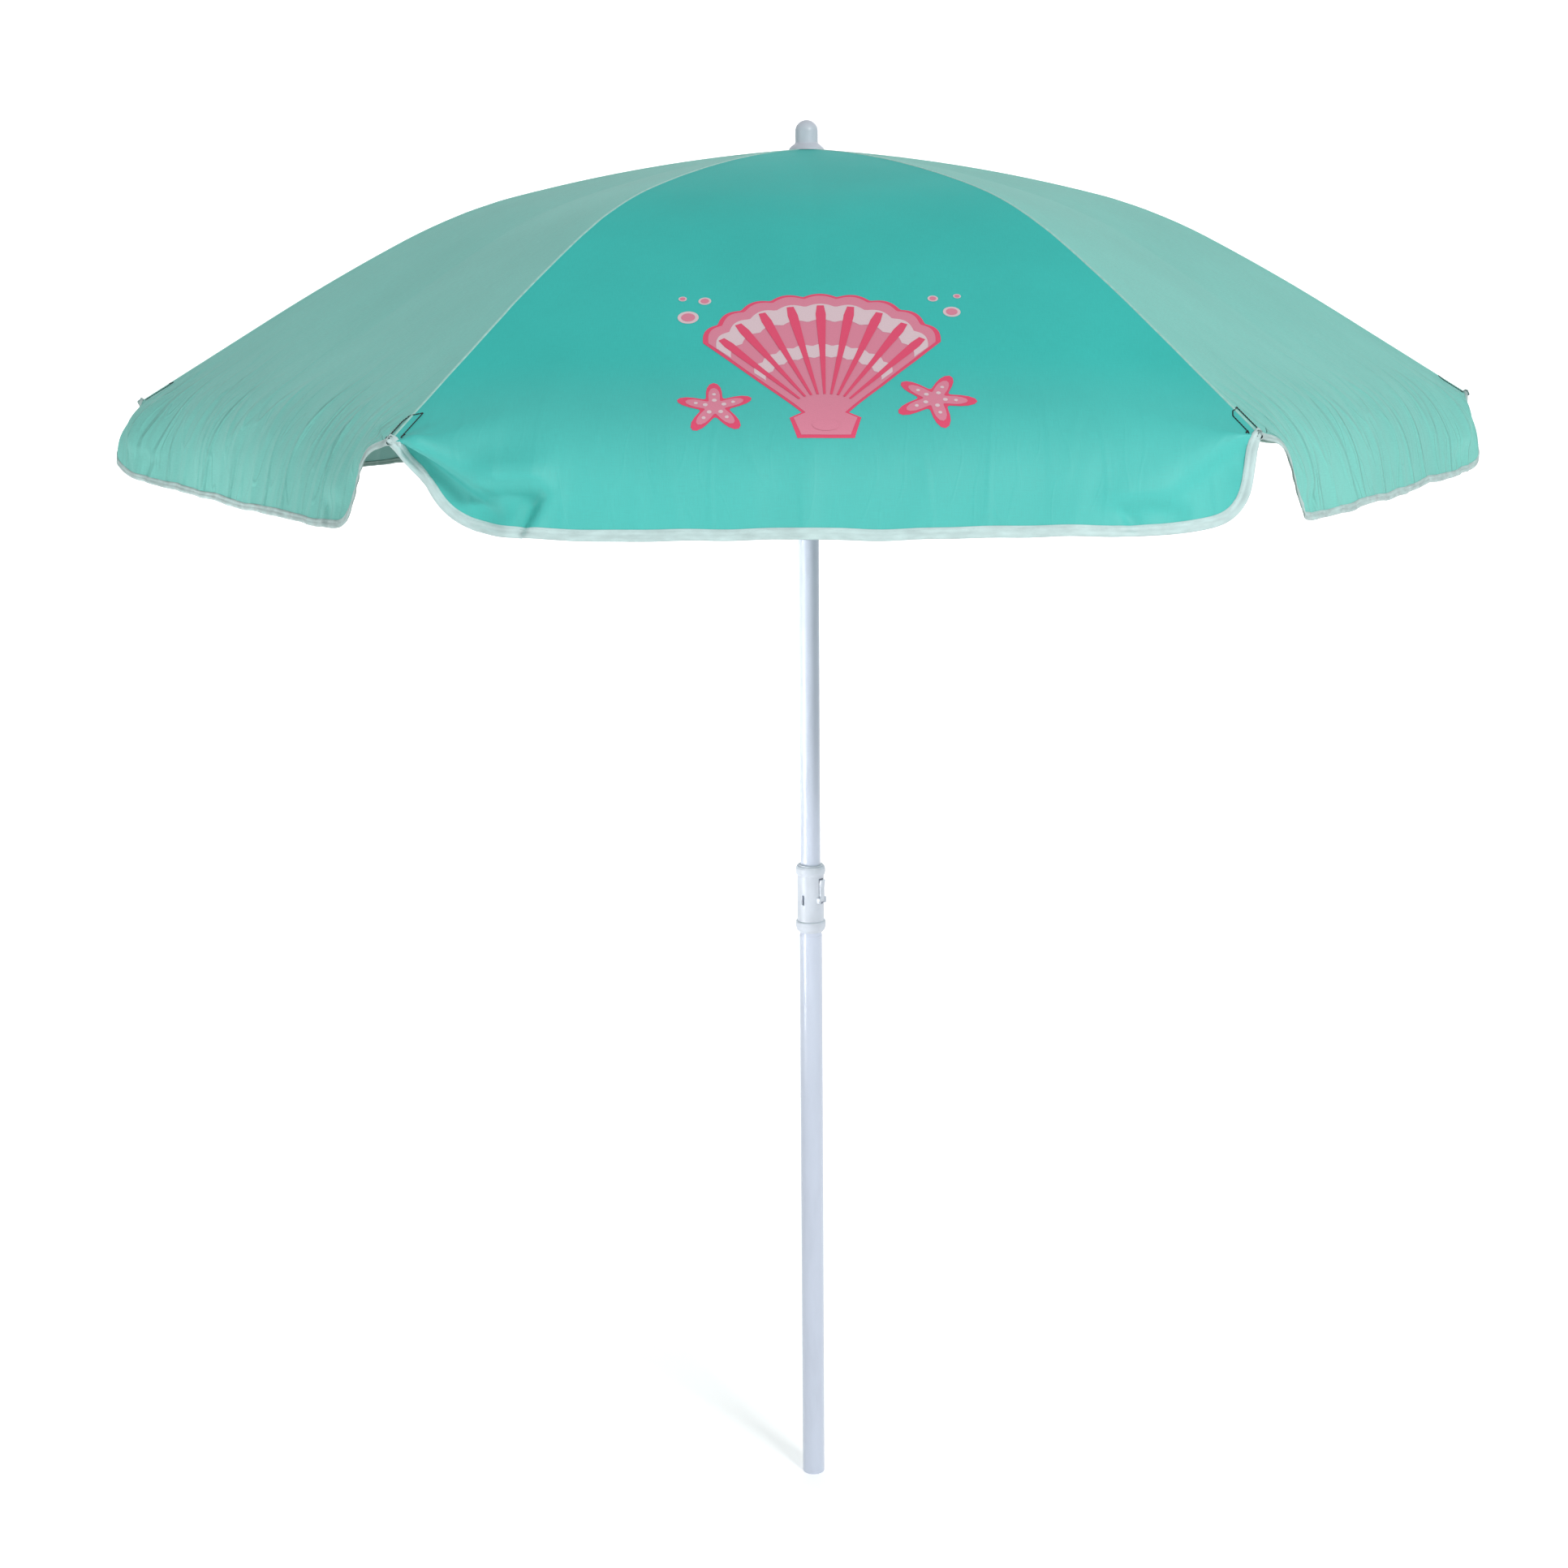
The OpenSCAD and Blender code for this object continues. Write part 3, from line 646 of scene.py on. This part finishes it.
    def grid_place(self, x, s):
        """Row and column, with fractions, of the cloth at x across and s down."""
        rows, cols = np.arange(len(self.s)), np.arange(len(self.x))
        column = np.interp(x, self.lateral[SLOPE_ROWS], cols)
        for _ in range(4):
            row = np.interp(s, line_at(self.s.T, column), rows)
            column = np.interp(x, line_at(self.lateral, row), cols)
        return row, column

    def hem_place(self, x, s):
        """Row and column near the hem, where x is measured along the rib tips' line."""
        column = np.interp(x, self.x, np.arange(len(self.x)))
        return np.interp(s, line_at(self.s.T, column), np.arange(len(self.s))), column

    def surface(self, places):
        """Points and normals at rows and columns of the grid, with fractions."""
        places = np.array(places)
        i = np.clip(places[:, 0].astype(int), 0, len(self.s) - 2)
        j = np.clip(places[:, 1].astype(int), 0, self.points.shape[1] - 2)
        f, g = (places - np.stack([i, j], -1)).T[..., None]

        def blend(grid):
            upper = grid[i, j] * (1 - g) + grid[i, j + 1] * g
            lower = grid[i + 1, j] * (1 - g) + grid[i + 1, j + 1] * g
            return upper * (1 - f) + lower * f

        return blend(self.points), unit(blend(self.normals))


panels = [Panel(k) for k in range(RIBS)]


# --- Soft pieces that fold with the ribs -------------------------------------

# Each half panel is cut into strips across FOLD_AXIS, and each strip rides its rib. The strip at
# the seam has no share. The next strip has the first share, by which it is to flatten towards its rib as the
# ribs fold, and what lies beyond it has the second. Each strip's anchor is where it is to stay joined to the
# one before. Neither shares nor anchors are applied here.
FOLD_AXIS = Vector((-0.0741, 0.9581, -0.2768)).normalized()
SEAM_LIMIT = 18.2
INNER_WIDTH = 131.5
INNER_SHARE = 0.735
OUTER_SHARE = 0.944
STRIPS = [
    ("seam", None, SEAM_LIMIT, None, None),
    ("inner", SEAM_LIMIT, SEAM_LIMIT + INNER_WIDTH, INNER_SHARE, SEAM_LIMIT),
    ("outer", SEAM_LIMIT + INNER_WIDTH, None, OUTER_SHARE,
     SEAM_LIMIT + INNER_WIDTH * (1 - INNER_SHARE / OUTER_SHARE)),
]


def vertex_values(mesh, name):
    values = np.zeros(len(mesh.vertices) * 3)
    mesh.attributes[name].data.foreach_get("vector", values)
    return values.reshape(-1, 3)


def new_piece(name, bm, materials):
    """An object from a bmesh whose vertices carry their own normals."""
    mesh = bpy.data.meshes.new(name)
    bm.to_mesh(mesh)
    for material in materials:
        mesh.materials.append(material)
    mesh.shade_smooth()
    mesh.normals_split_custom_set_from_vertices(unit(vertex_values(mesh, "own_normal")).tolist())
    mesh.attributes.remove(mesh.attributes["own_normal"])
    piece = bpy.data.objects.new(name, mesh)
    bpy.context.scene.collection.objects.link(piece)
    return piece


def mesh_from(points, normals, flat, faces, ink=None):
    """A bmesh with a normal and a place on the flat cloth at each vertex."""
    bm = bmesh.new()
    own = bm.verts.layers.float_vector.new("own_normal")
    place = bm.verts.layers.float_vector.new("flat")
    verts = []
    for p, n, f in zip(points, normals, flat):
        v = bm.verts.new(p)
        v[own] = n
        v[place] = f
        verts.append(v)
    for number, face in enumerate(faces):
        made = bm.faces.new([verts[i] for i in face])
        made.smooth = True
        if ink is not None:
            made.material_index = ink[number]
    return bm


def cut(bm, co, no, keep_above=None, dist=1e-7):
    """Cuts a mesh along a plane, and keeps what lies on one side of it, or on both."""
    everything = bm.verts[:] + bm.edges[:] + bm.faces[:]
    bmesh.ops.bisect_plane(bm, geom=everything, dist=dist, plane_co=co, plane_no=no,
                           clear_inner=keep_above is True, clear_outer=keep_above is False)


def folding_pieces(name, bm, materials, k, far):
    """Cuts a soft piece on half of panel k into strips that ride its rib; those with a share get a mesh of
    their own.
    """
    axis = FOLD_AXIS.copy()
    if far:
        axis.y = -axis.y
    axis.rotate(Matrix.Rotation((k + far) * SECTOR, 3, "Z"))
    made = []
    for strip, start, end, share, anchor in STRIPS:
        part = bm.copy()
        if start is not None:
            cut(part, top + axis * start * MM, axis, True)
        if end is not None:
            cut(part, top + axis * end * MM, axis, False)
        if part.faces:
            piece = new_piece(f"{name}_{strip}", part, materials)
            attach(piece, f"rib_{(k + far) % RIBS + 1}")
            if share is not None:
                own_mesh(piece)
            made.append(piece)
        part.free()
    bm.free()
    return made


def cloth_slot(k):
    return "teal_cloth" if k % 2 == 0 else "mint_cloth"


def grid_faces(rows, cols):
    return [(i * cols + j, (i + 1) * cols + j, (i + 1) * cols + j + 1, i * cols + j + 1)
            for i in range(rows - 1) for j in range(cols - 1)]


def sheet_area(piece, most):
    """Area of a piece of cloth, which can't be more than its flat size allows."""
    return min(sum(face.area for face in piece.data.polygons), most)


def flat_size(piece):
    """Width and length of the flat cloth that a piece was cut from, and its area.

    The width is measured from the panel's middle or from its seam, whichever is the tighter.
    """
    flat = vertex_values(piece.data, "flat")
    sizes = []
    for columns in ([0, 1], [2, 1]):
        turned = flat[:, columns] @ np.linalg.eigh(np.cov(flat[:, columns].T))[1]
        sizes.append(tuple(float(side) for side in np.ptp(turned, axis=0)))
    width, length = min(sizes, key=lambda size: size[0] * size[1])
    return (width, length), sheet_area(piece, width * length)


def make_canopy(panel):
    """The two halves of a panel's cloth."""
    for half, far in HALVES:
        columns = slice(panel.middle, None) if far else slice(0, panel.middle + 1)
        points = panel.points[:, columns]
        lateral = panel.lateral[:, columns]
        from_seam = lateral - lateral[:, -1:] if far else lateral - lateral[:, :1]
        flat = np.stack([lateral, panel.s[:, columns], from_seam], -1)
        bm = mesh_from(points.reshape(-1, 3), panel.normals[:, columns].reshape(-1, 3),
                       flat.reshape(-1, 3) * MM, grid_faces(*points.shape[:2]))
        name, slot = f"panel_{panel.k + 1}_{half}", cloth_slot(panel.k)
        for piece in folding_pieces(f"cloth_{name}", bm, [looks[slot]], panel.k, far):
            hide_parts(name)
            size, area = flat_size(piece)


# --- Hem binding -------------------------------------------------------------

BINDING_HALF = 0.9
TAPE_OVERLAP = 2.6
STITCH_LINE = 0.78
# Outline of the folded tape: distance up from the hem as a share of its width, and distance
# off the cloth as a share of its half thickness
BINDING_SECTION = [(1, 0.12), (0.95, 0.8), (STITCH_LINE, 1.05), (0.58, 0.95), (0.5, 0.5), (0.42, 0.95),
                   (0.2, 1.1), (0.03, 0.85)]


def add_stitch(points, normals, flat, faces, a, b, up, radius, place):
    """A stitch from a to b that lies on the cloth: a short length of thread with dipped ends."""
    side = np.cross(up, unit(b - a))
    first, sides = len(points), 6
    ring = [side * math.cos(t) + up * math.sin(t) for t in np.linspace(0, math.tau, sides + 1)[:-1]]
    rings = ((0, 0.45, 0.9), (0.18, 1, 0), (0.82, 1, 0), (1, 0.45, 0.9))
    for share, size, sink in rings:
        middle = a + (b - a) * share - up * radius * sink
        points += [middle + d * radius * size for d in ring]
        normals += ring
    flat += [place] * (len(rings) * sides)
    for low in range(first, first + (len(rings) - 1) * sides, sides):
        for i in range(sides):
            j, high = (i + 1) % sides, low + sides
            faces.append((low + i, low + j, high + j, high + i))


def smoothed(values, turns):
    """Averages a row of vectors with its neighbours, and keeps its two ends."""
    for _ in range(turns):
        values[1:-1] = (values[:-2] + 2 * values[1:-1] + values[2:]) / 4
    return values


def hem_line(panel):
    """Places along the hem, close together at the notches, and the middle one's number."""
    u = np.concatenate([np.arange(0, NOTCH_REACH, 1.0), FAR_COLUMNS])
    x = np.concatenate([u - half_span, (half_span - u)[-2::-1]])
    return np.stack([x, np.interp(x, panel.x, panel.s[-1])], -1), len(u) - 1


def tape_reach(panel, hem, inward, width):
    """How far up from the hem the tape has to run to be as wide as it should on the cloth."""
    edge, _ = panel.surface([panel.hem_place(x, s) for x, s in hem])
    reach = np.full(len(hem), width)
    for _ in range(3):
        upper, _ = panel.surface([panel.hem_place(x, s) for x, s in hem + inward * reach[:, None]])
        wide = np.linalg.norm(upper - edge, axis=1) / MM
        reach *= np.clip(width / wide, 0.6, 1.4)
    return smoothed(np.clip(reach, 0.4 * width, 1.5 * width), 3)


def binding_rows(panel):
    """The tape's points along the hem with its sections' flat places, and its line of stitches."""
    hem, middle = hem_line(panel)
    tangent = np.gradient(hem, axis=0)
    tangent[[0, -1]] = (1, 0)
    tangent = unit(smoothed(unit(tangent), 6))
    inward = np.stack([tangent[:, 1], -tangent[:, 0]], -1)
    length = np.concatenate([[0], np.cumsum(np.linalg.norm(np.diff(hem, axis=0), axis=1))])
    a, b, c = panel.ripple[:3]
    pucker = 1 + (0.12 if panel.front else 0.3) * (
        np.sin(length / 2.9 + 2 * np.sin(length / 13 + a)) + 0.5 * np.sin(length / 7.3 + b))
    sway = (0.25 if panel.front else 0.5) * np.sin(length / 23 + c)
    width = 9.0 if panel.front else 6.2
    reach = tape_reach(panel, hem, inward, width) + sway
    thick = BINDING_HALF * pucker * (1 + np.exp(-(half_span - abs(hem[:, 0])) / 7))
    rows, normals = {}, {}
    for share, _ in BINDING_SECTION:
        place = hem + inward * (share * reach)[:, None]
        rows[share], normals[share] = panel.surface([panel.hem_place(x, s) for x, s in place])
    outside, inside = [], []
    for share, off in BINDING_SECTION:
        proud = normals[share] * (off * thick * MM)[:, None]
        outside.append(rows[share] + proud)
        inside.append(rows[share] - proud)
    above, low = BINDING_SECTION[-2][0], BINDING_SECTION[-1][0]
    edge = rows[low] - unit(rows[above] - rows[low]) * BINDING_HALF * MM
    grid = np.stack(outside + [edge] + inside[::-1], axis=1)
    for end, next_one in ((0, 1), (-1, -2)):
        grid[end] += unit(grid[end] - grid[next_one]) * TAPE_OVERLAP * MM
    rises = [share * width * MM for share, _ in BINDING_SECTION]
    sections = [(rise, 0) for rise in rises + [0]] + [(rise, 1) for rise in rises[::-1]]
    off = normals[STITCH_LINE]
    return grid, sections, rows[STITCH_LINE] + off * thick[:, None] * 1.1 * MM, off, length, middle


def make_binding(panel):
    """Tape folded over the hem, with a row of stitches near its upper edge."""
    grid, sections, line, off, length, middle = binding_rows(panel)
    across = np.roll(grid, -1, axis=1) - np.roll(grid, 1, axis=1)
    normals = unit(np.cross(across, np.gradient(grid, axis=0)))
    count = grid.shape[1]
    stitch_step, stitch_length, stitch_radius = 3.6, 2.5, 0.22
    for half, far in HALVES:
        columns = np.arange(middle, len(grid)) if far else np.arange(middle + 1)
        pts = list(grid[columns].reshape(-1, 3))
        nrm = list(normals[columns].reshape(-1, 3))
        flat = [(length[i] * MM, *section) for i in columns for section in sections]
        faces = [(i * count + j, i * count + (j + 1) % count, (i + 1) * count + (j + 1) % count,
                  (i + 1) * count + j)
                 for i in range(len(columns) - 1) for j in range(count)]
        start, end = length[columns[0]], length[columns[-1]]
        for at in np.arange(start + 2, end - 3, stitch_step):
            ends = [np.array([np.interp(d, length, line[:, axis]) for axis in range(3)])
                    for d in (at, at + stitch_length)]
            up = np.array([np.interp(at, length, off[:, axis]) for axis in range(3)])
            add_stitch(pts, nrm, flat, faces, *ends, up, stitch_radius * MM, (at * MM, 0.006, 0))
        bm = mesh_from(pts, nrm, flat, faces)
        look = looks["binding_tape" if panel.front else "side_tape"]
        folding_pieces(f"binding_{panel.k + 1}_{half}", bm, [look], panel.k, far)


# --- Seams, tip pockets and their thread -------------------------------------

SEAM_START = 17
SEAM_SEED = 90
POCKET_HALF = 6.5
POCKET_LENGTH = 38


def rib_point(y, d, off):
    """Point at a distance y beside a rib and d up the cloth from its tip, off the cloth, in mm."""
    slope = math.radians(STATIONS[-1][1])
    r = tip_radius - d * math.cos(slope)
    base = chord_point(r, abs(y) * 4 / (r * math.sqrt(3)))
    turn = SECTOR / 2 * min(1.0, abs(y) / 4)
    normal = np.array([math.sin(slope) * math.cos(turn), math.sin(slope) * math.sin(turn),
                       math.cos(slope)])
    mirror = np.array([1, -1 if y < 0 else 1, 1])
    return (base + normal * off) * mirror, normal * mirror


def rigid_piece(name, grid, normals, flat, slot, rib, look=None, faces=None):
    """A piece that rides a rib as it is, from a grid, or from points with their faces."""
    if faces is None:
        faces = grid_faces(*grid.shape[:2])
        grid, normals = grid.reshape(-1, 3), normals.reshape(-1, 3)
    bm = mesh_from(grid, normals, flat, faces)
    piece = new_piece(name, bm, [looks[look or slot]])
    bm.free()
    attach(piece, f"rib_{rib + 1}")
    return piece


def make_seam(rib):
    """The folded seam allowance that stands along a rib."""
    half, high = 1.2, 0.55
    profile = [(-half, -0.2), (-half * 0.8, high * 0.7), (-half * 0.3, high), (half * 0.3, high),
               (half * 0.8, high * 0.7), (half, -0.2)]
    radii = np.linspace(SEAM_START, tip_radius - 3, 110)
    steep = np.arctan(-np.gradient(cloth_height(radii), radii))
    wander = np.random.default_rng(SEAM_SEED + rib).uniform(-0.25, 0.25, 40)
    sway = np.interp(radii, np.linspace(SEAM_START, tip_radius, len(wander)), wander)
    pucker = 1 + 0.12 * np.sin(radii / 1.9) + 0.1 * np.sin(radii / 5.1)
    lines = []
    for y, off in profile:
        # The cloth falls away on both sides of the rib, at the height of its own straight chord
        chord = radii + off * (pucker - 1) * np.sin(steep)
        lines.append(np.stack([chord - abs(y) / math.sqrt(3) + off * np.sin(steep), y + sway,
                               cloth_height(chord) + off * np.cos(steep)], -1))
    grid = to_row_frame(np.stack(lines, axis=1), rib, False)
    flat = [(y * MM, r * MM, 0) for r in radii for y, _ in profile]
    rigid_piece(f"seam_{rib + 1}", grid, grid_normals(grid), flat, "binding_tape", rib, "seam_tape")


def pocket_outline():
    """Line of the thread round a tip pocket: beside the rib and up from its tip, in mm."""
    w, long = POCKET_HALF, POCKET_LENGTH
    return [(-w, 4), (-w * 0.95, long - 11), (-w * 0.4, long - 3.5), (w, long + 1), (w * 0.96, 5)]


def make_pocket_thread(rib):
    """Black stitches round the pocket, with a few back and forth where the thread ends."""
    w, line = POCKET_HALF, np.array(pocket_outline())
    tacks = np.array([(-w, 4), (-w - 2.6, 2.2), (-w + 0.6, 6.5), (-w - 0.6, 1.5)])
    other = np.array([(w, 5), (w + 0.9, 9.5), (w - 0.5, 4.2), (w + 2.4, 3.4)])
    stitches = []
    step, length, radius, lift = 2.9, 2.8, 0.5, 0.35
    for a, b in zip(line, line[1:]):
        count = max(1, round(np.linalg.norm(b - a) / step))
        starts = [a + (b - a) * n / count for n in range(count)]
        stitches += [(start, start + unit(b - a) * length) for start in starts]
    for row in (tacks, other):
        stitches += zip(row, row[1:])
    points, normals, flat, faces = [], [], [], []
    for a, b in stitches:
        ends = [rib_point(*p, lift) for p in (a, b)]
        world = [to_row_frame(e[0], rib, False) for e in ends]
        up = to_row_frame(ends[0][1] / MM, rib, False) - np.array(top)
        add_stitch(points, normals, flat, faces, *world, up, radius * MM, (0, 0, 0))
    rigid_piece(f"pocket_thread_{rib + 1}", points, normals, flat, "black_thread", rib, faces=faces)


def make_pocket(rib):
    """The pouch under the cloth that holds the rib's end, open towards the pole."""
    depth, wide = 8.6, 9.0
    rows, cols = 18, 17
    points, flat = [], []
    for i in range(rows):
        d = 1.5 + (POCKET_LENGTH - 3) * i / (rows - 1)
        full = math.sin(min(1.0, (d - 1.5) / 9) * math.pi / 2) ** 0.6
        for j in range(cols):
            y = wide * (2 * j / (cols - 1) - 1)
            swell = max(0.0, 1 - abs(y / wide) ** 2.2)
            off = -0.5 - depth * full * swell ** 0.8 - 0.25 * math.sin(d * 0.9 + y) * swell
            points.append(rib_point(y, d, off)[0])
            flat.append((y * MM, d * MM, 0))
    grid = to_row_frame(np.array(points).reshape(rows, cols, 3), rib, False)
    piece = rigid_piece(f"tip_pocket_{rib + 1}", grid, -grid_normals(grid), flat, cloth_slot(rib), rib)


# --- The print on the front panel --------------------------------------------

# A plain scallop shell with two starfish and bubbles. Millimetres on the flat cloth: x to the
# right of the panel's middle, and y up from the print's centre.
PINK, ROSE, PALE = range(3)
PRINT_DOWN = -104
PRINT_CELL = 9.0
INK_LIFT = 0.22
LAYER_LIFT = 0.13


def ring(cx, cy, rx, ry=None, steps=40):
    angles = np.radians(np.linspace(0, 360, steps, endpoint=False))
    return [(cx + rx * math.cos(a), cy + (ry or rx) * math.sin(a)) for a in angles]


def star(cx, cy, outer, inner, turn):
    """A starfish with five round arms."""
    outline = []
    for n in range(60):
        a = math.tau * n / 60
        swing = (0.5 + 0.5 * math.cos(5 * a)) ** 1.25
        r = inner + (outer - inner) * swing
        outline.append((cx + r * math.cos(a + turn), cy + r * math.sin(a + turn)))
    return outline


SHELL_HINGE = -84.0
SHELL_RADIUS = 176.0
SHELL_HALF_ANGLE = 42.0
SHELL_LOBES = 9


def shell_point(angle, r, aside=0.0):
    """Point at a radius from the hinge and an angle from straight up, in degrees, or beside it."""
    a = math.radians(angle)
    return (r * math.sin(a) + aside * math.cos(a), SHELL_HINGE + r * math.cos(a) - aside * math.sin(a))


def shell_edge(angle, inset=0.0):
    """Radius of the shell's scalloped edge at an angle from straight up, in degrees."""
    lobe = 180 * SHELL_LOBES * (angle + SHELL_HALF_ANGLE) / (2 * SHELL_HALF_ANGLE)
    fall = 1 - 0.16 * abs(angle / SHELL_HALF_ANGLE) ** 2.4
    return SHELL_RADIUS * fall - 5 * (1 - abs(math.sin(math.radians(lobe)))) - inset


def shell_outline(grow=0.0):
    outline = [(-20 - grow, SHELL_HINGE - 14 - grow), (20 + grow, SHELL_HINGE - 14 - grow),
               (26 + grow, SHELL_HINGE + 4), (16 + grow, SHELL_HINGE + 10)]
    outline += [shell_point(angle * (1 + grow / 110), shell_edge(angle) + grow)
                for angle in np.linspace(SHELL_HALF_ANGLE, -SHELL_HALF_ANGLE, 120)]
    return outline + [(-16 - grow, SHELL_HINGE + 10), (-26 - grow, SHELL_HINGE + 4)]


def shell_rib(number):
    """A tapered stripe from the hinge out to the middle of one lobe."""
    angle = SHELL_HALF_ANGLE * ((2 * number + 1) / SHELL_LOBES - 1)
    start, end = 34.0, shell_edge(angle, 15)
    edge = [(start + (end - start) * t, half) for t, half in ((0, 1.0), (0.5, 2.6), (0.9, 4.4), (1, 3.0))]
    return ([shell_point(angle, r, -half) for r, half in edge]
            + [shell_point(angle, r, half) for r, half in edge[::-1]])


def shell_band(inner, outer):
    """A growth band across the shell, between two parts of its radius."""
    angles = np.linspace(-SHELL_HALF_ANGLE, SHELL_HALF_ANGLE, 90)
    return ([shell_point(a, shell_edge(a) * outer) for a in angles]
            + [shell_point(a, shell_edge(a) * inner) for a in angles[::-1]])


def print_shapes():
    """(ink, layer, outline) of each printed shape."""
    shapes = [(ROSE, 0, shell_outline(3.2)), (PINK, 1, shell_outline())]
    shapes += [(PALE, 2, shell_band(0.80, 0.93)), (PALE, 2, shell_band(0.50, 0.60))]
    shapes += [(ROSE, 3, shell_rib(n)) for n in range(SHELL_LOBES)]
    shapes += [(PINK, 3, ring(0, SHELL_HINGE - 4, 11, 6))]
    for side, y, size, turn in ((-1, -66, 32, 0.35), (1, -58, 35, 1.15)):
        x = side * 90
        shapes.append((ROSE, 0, star(x, y, size, size * 0.4, turn)))
        shapes.append((PINK, 1, star(x, y, size * 0.78, size * 0.27, turn)))
        shapes += [(PALE, 2, ring(x + size * r * math.cos(turn + math.tau * n / 5),
                                  y + size * r * math.sin(turn + math.tau * n / 5), 2.4 - r * 1.5, steps=14))
                   for n in range(5) for r in (0.25, 0.5)]
    for x, y, r in ((-113, 60, 9), (-99, 84, 5.5), (-118, 88, 3.6), (112, 66, 7.5), (97, 86, 4.5),
                    (118, 90, 3.4)):
        shapes.append((PALE, 0, ring(x, y, r)))
        shapes.append((PINK, 1, ring(x, y, r * 0.66)))
    return shapes


def make_print(panel):
    """Lays the printed shapes on the cloth, in cells small enough to follow its curve."""
    points, normals, flat, faces, ink = [], [], [], [], []
    for colour, layer, outline in print_shapes():
        shape = bmesh.new()
        shape.faces.new([shape.verts.new((x, y, 0)) for x, y in outline])
        for direction, reach in ((Vector((1, 0, 0)), 130), (Vector((0, 1, 0)), 110)):
            for place in np.arange(-reach, reach + 1, PRINT_CELL):
                cut(shape, direction * place, direction, dist=1e-5)
        bmesh.ops.triangulate(shape, faces=shape.faces[:])
        shape.normal_update()
        shape.verts.index_update()
        flat_points = np.array([v.co[:2] for v in shape.verts])
        p, n = panel.surface([panel.grid_place(x, PRINT_DOWN - y) for x, y in flat_points])
        first = len(points)
        points += list(p + n * (INK_LIFT + LAYER_LIFT * layer) * MM)
        normals += list(n)
        flat += [(x * MM, (PRINT_DOWN - y) * MM, 0) for x, y in flat_points]
        for face in shape.faces:
            corners = [first + v.index for v in face.verts]
            faces.append(corners if face.normal.z > 0 else corners[::-1])
            ink.append(colour)
        shape.free()
    bm = mesh_from(points, normals, flat, faces, ink)
    for half, far in HALVES:
        part = bm.copy()
        cut(part, (0, 0, 0), (1, 0, 0), far)
        folding_pieces(f"print_{half}", part, inks, panel.k, far)
    bm.free()


# --- Put together ------------------------------------------------------------

make_camera()
make_studio()
dress_cad_nodes()
for panel in panels:
    make_canopy(panel)
    make_binding(panel)
for rib in range(RIBS):
    make_seam(rib)
    make_pocket(rib)
    make_pocket_thread(rib)
make_print(panels[FRONT])
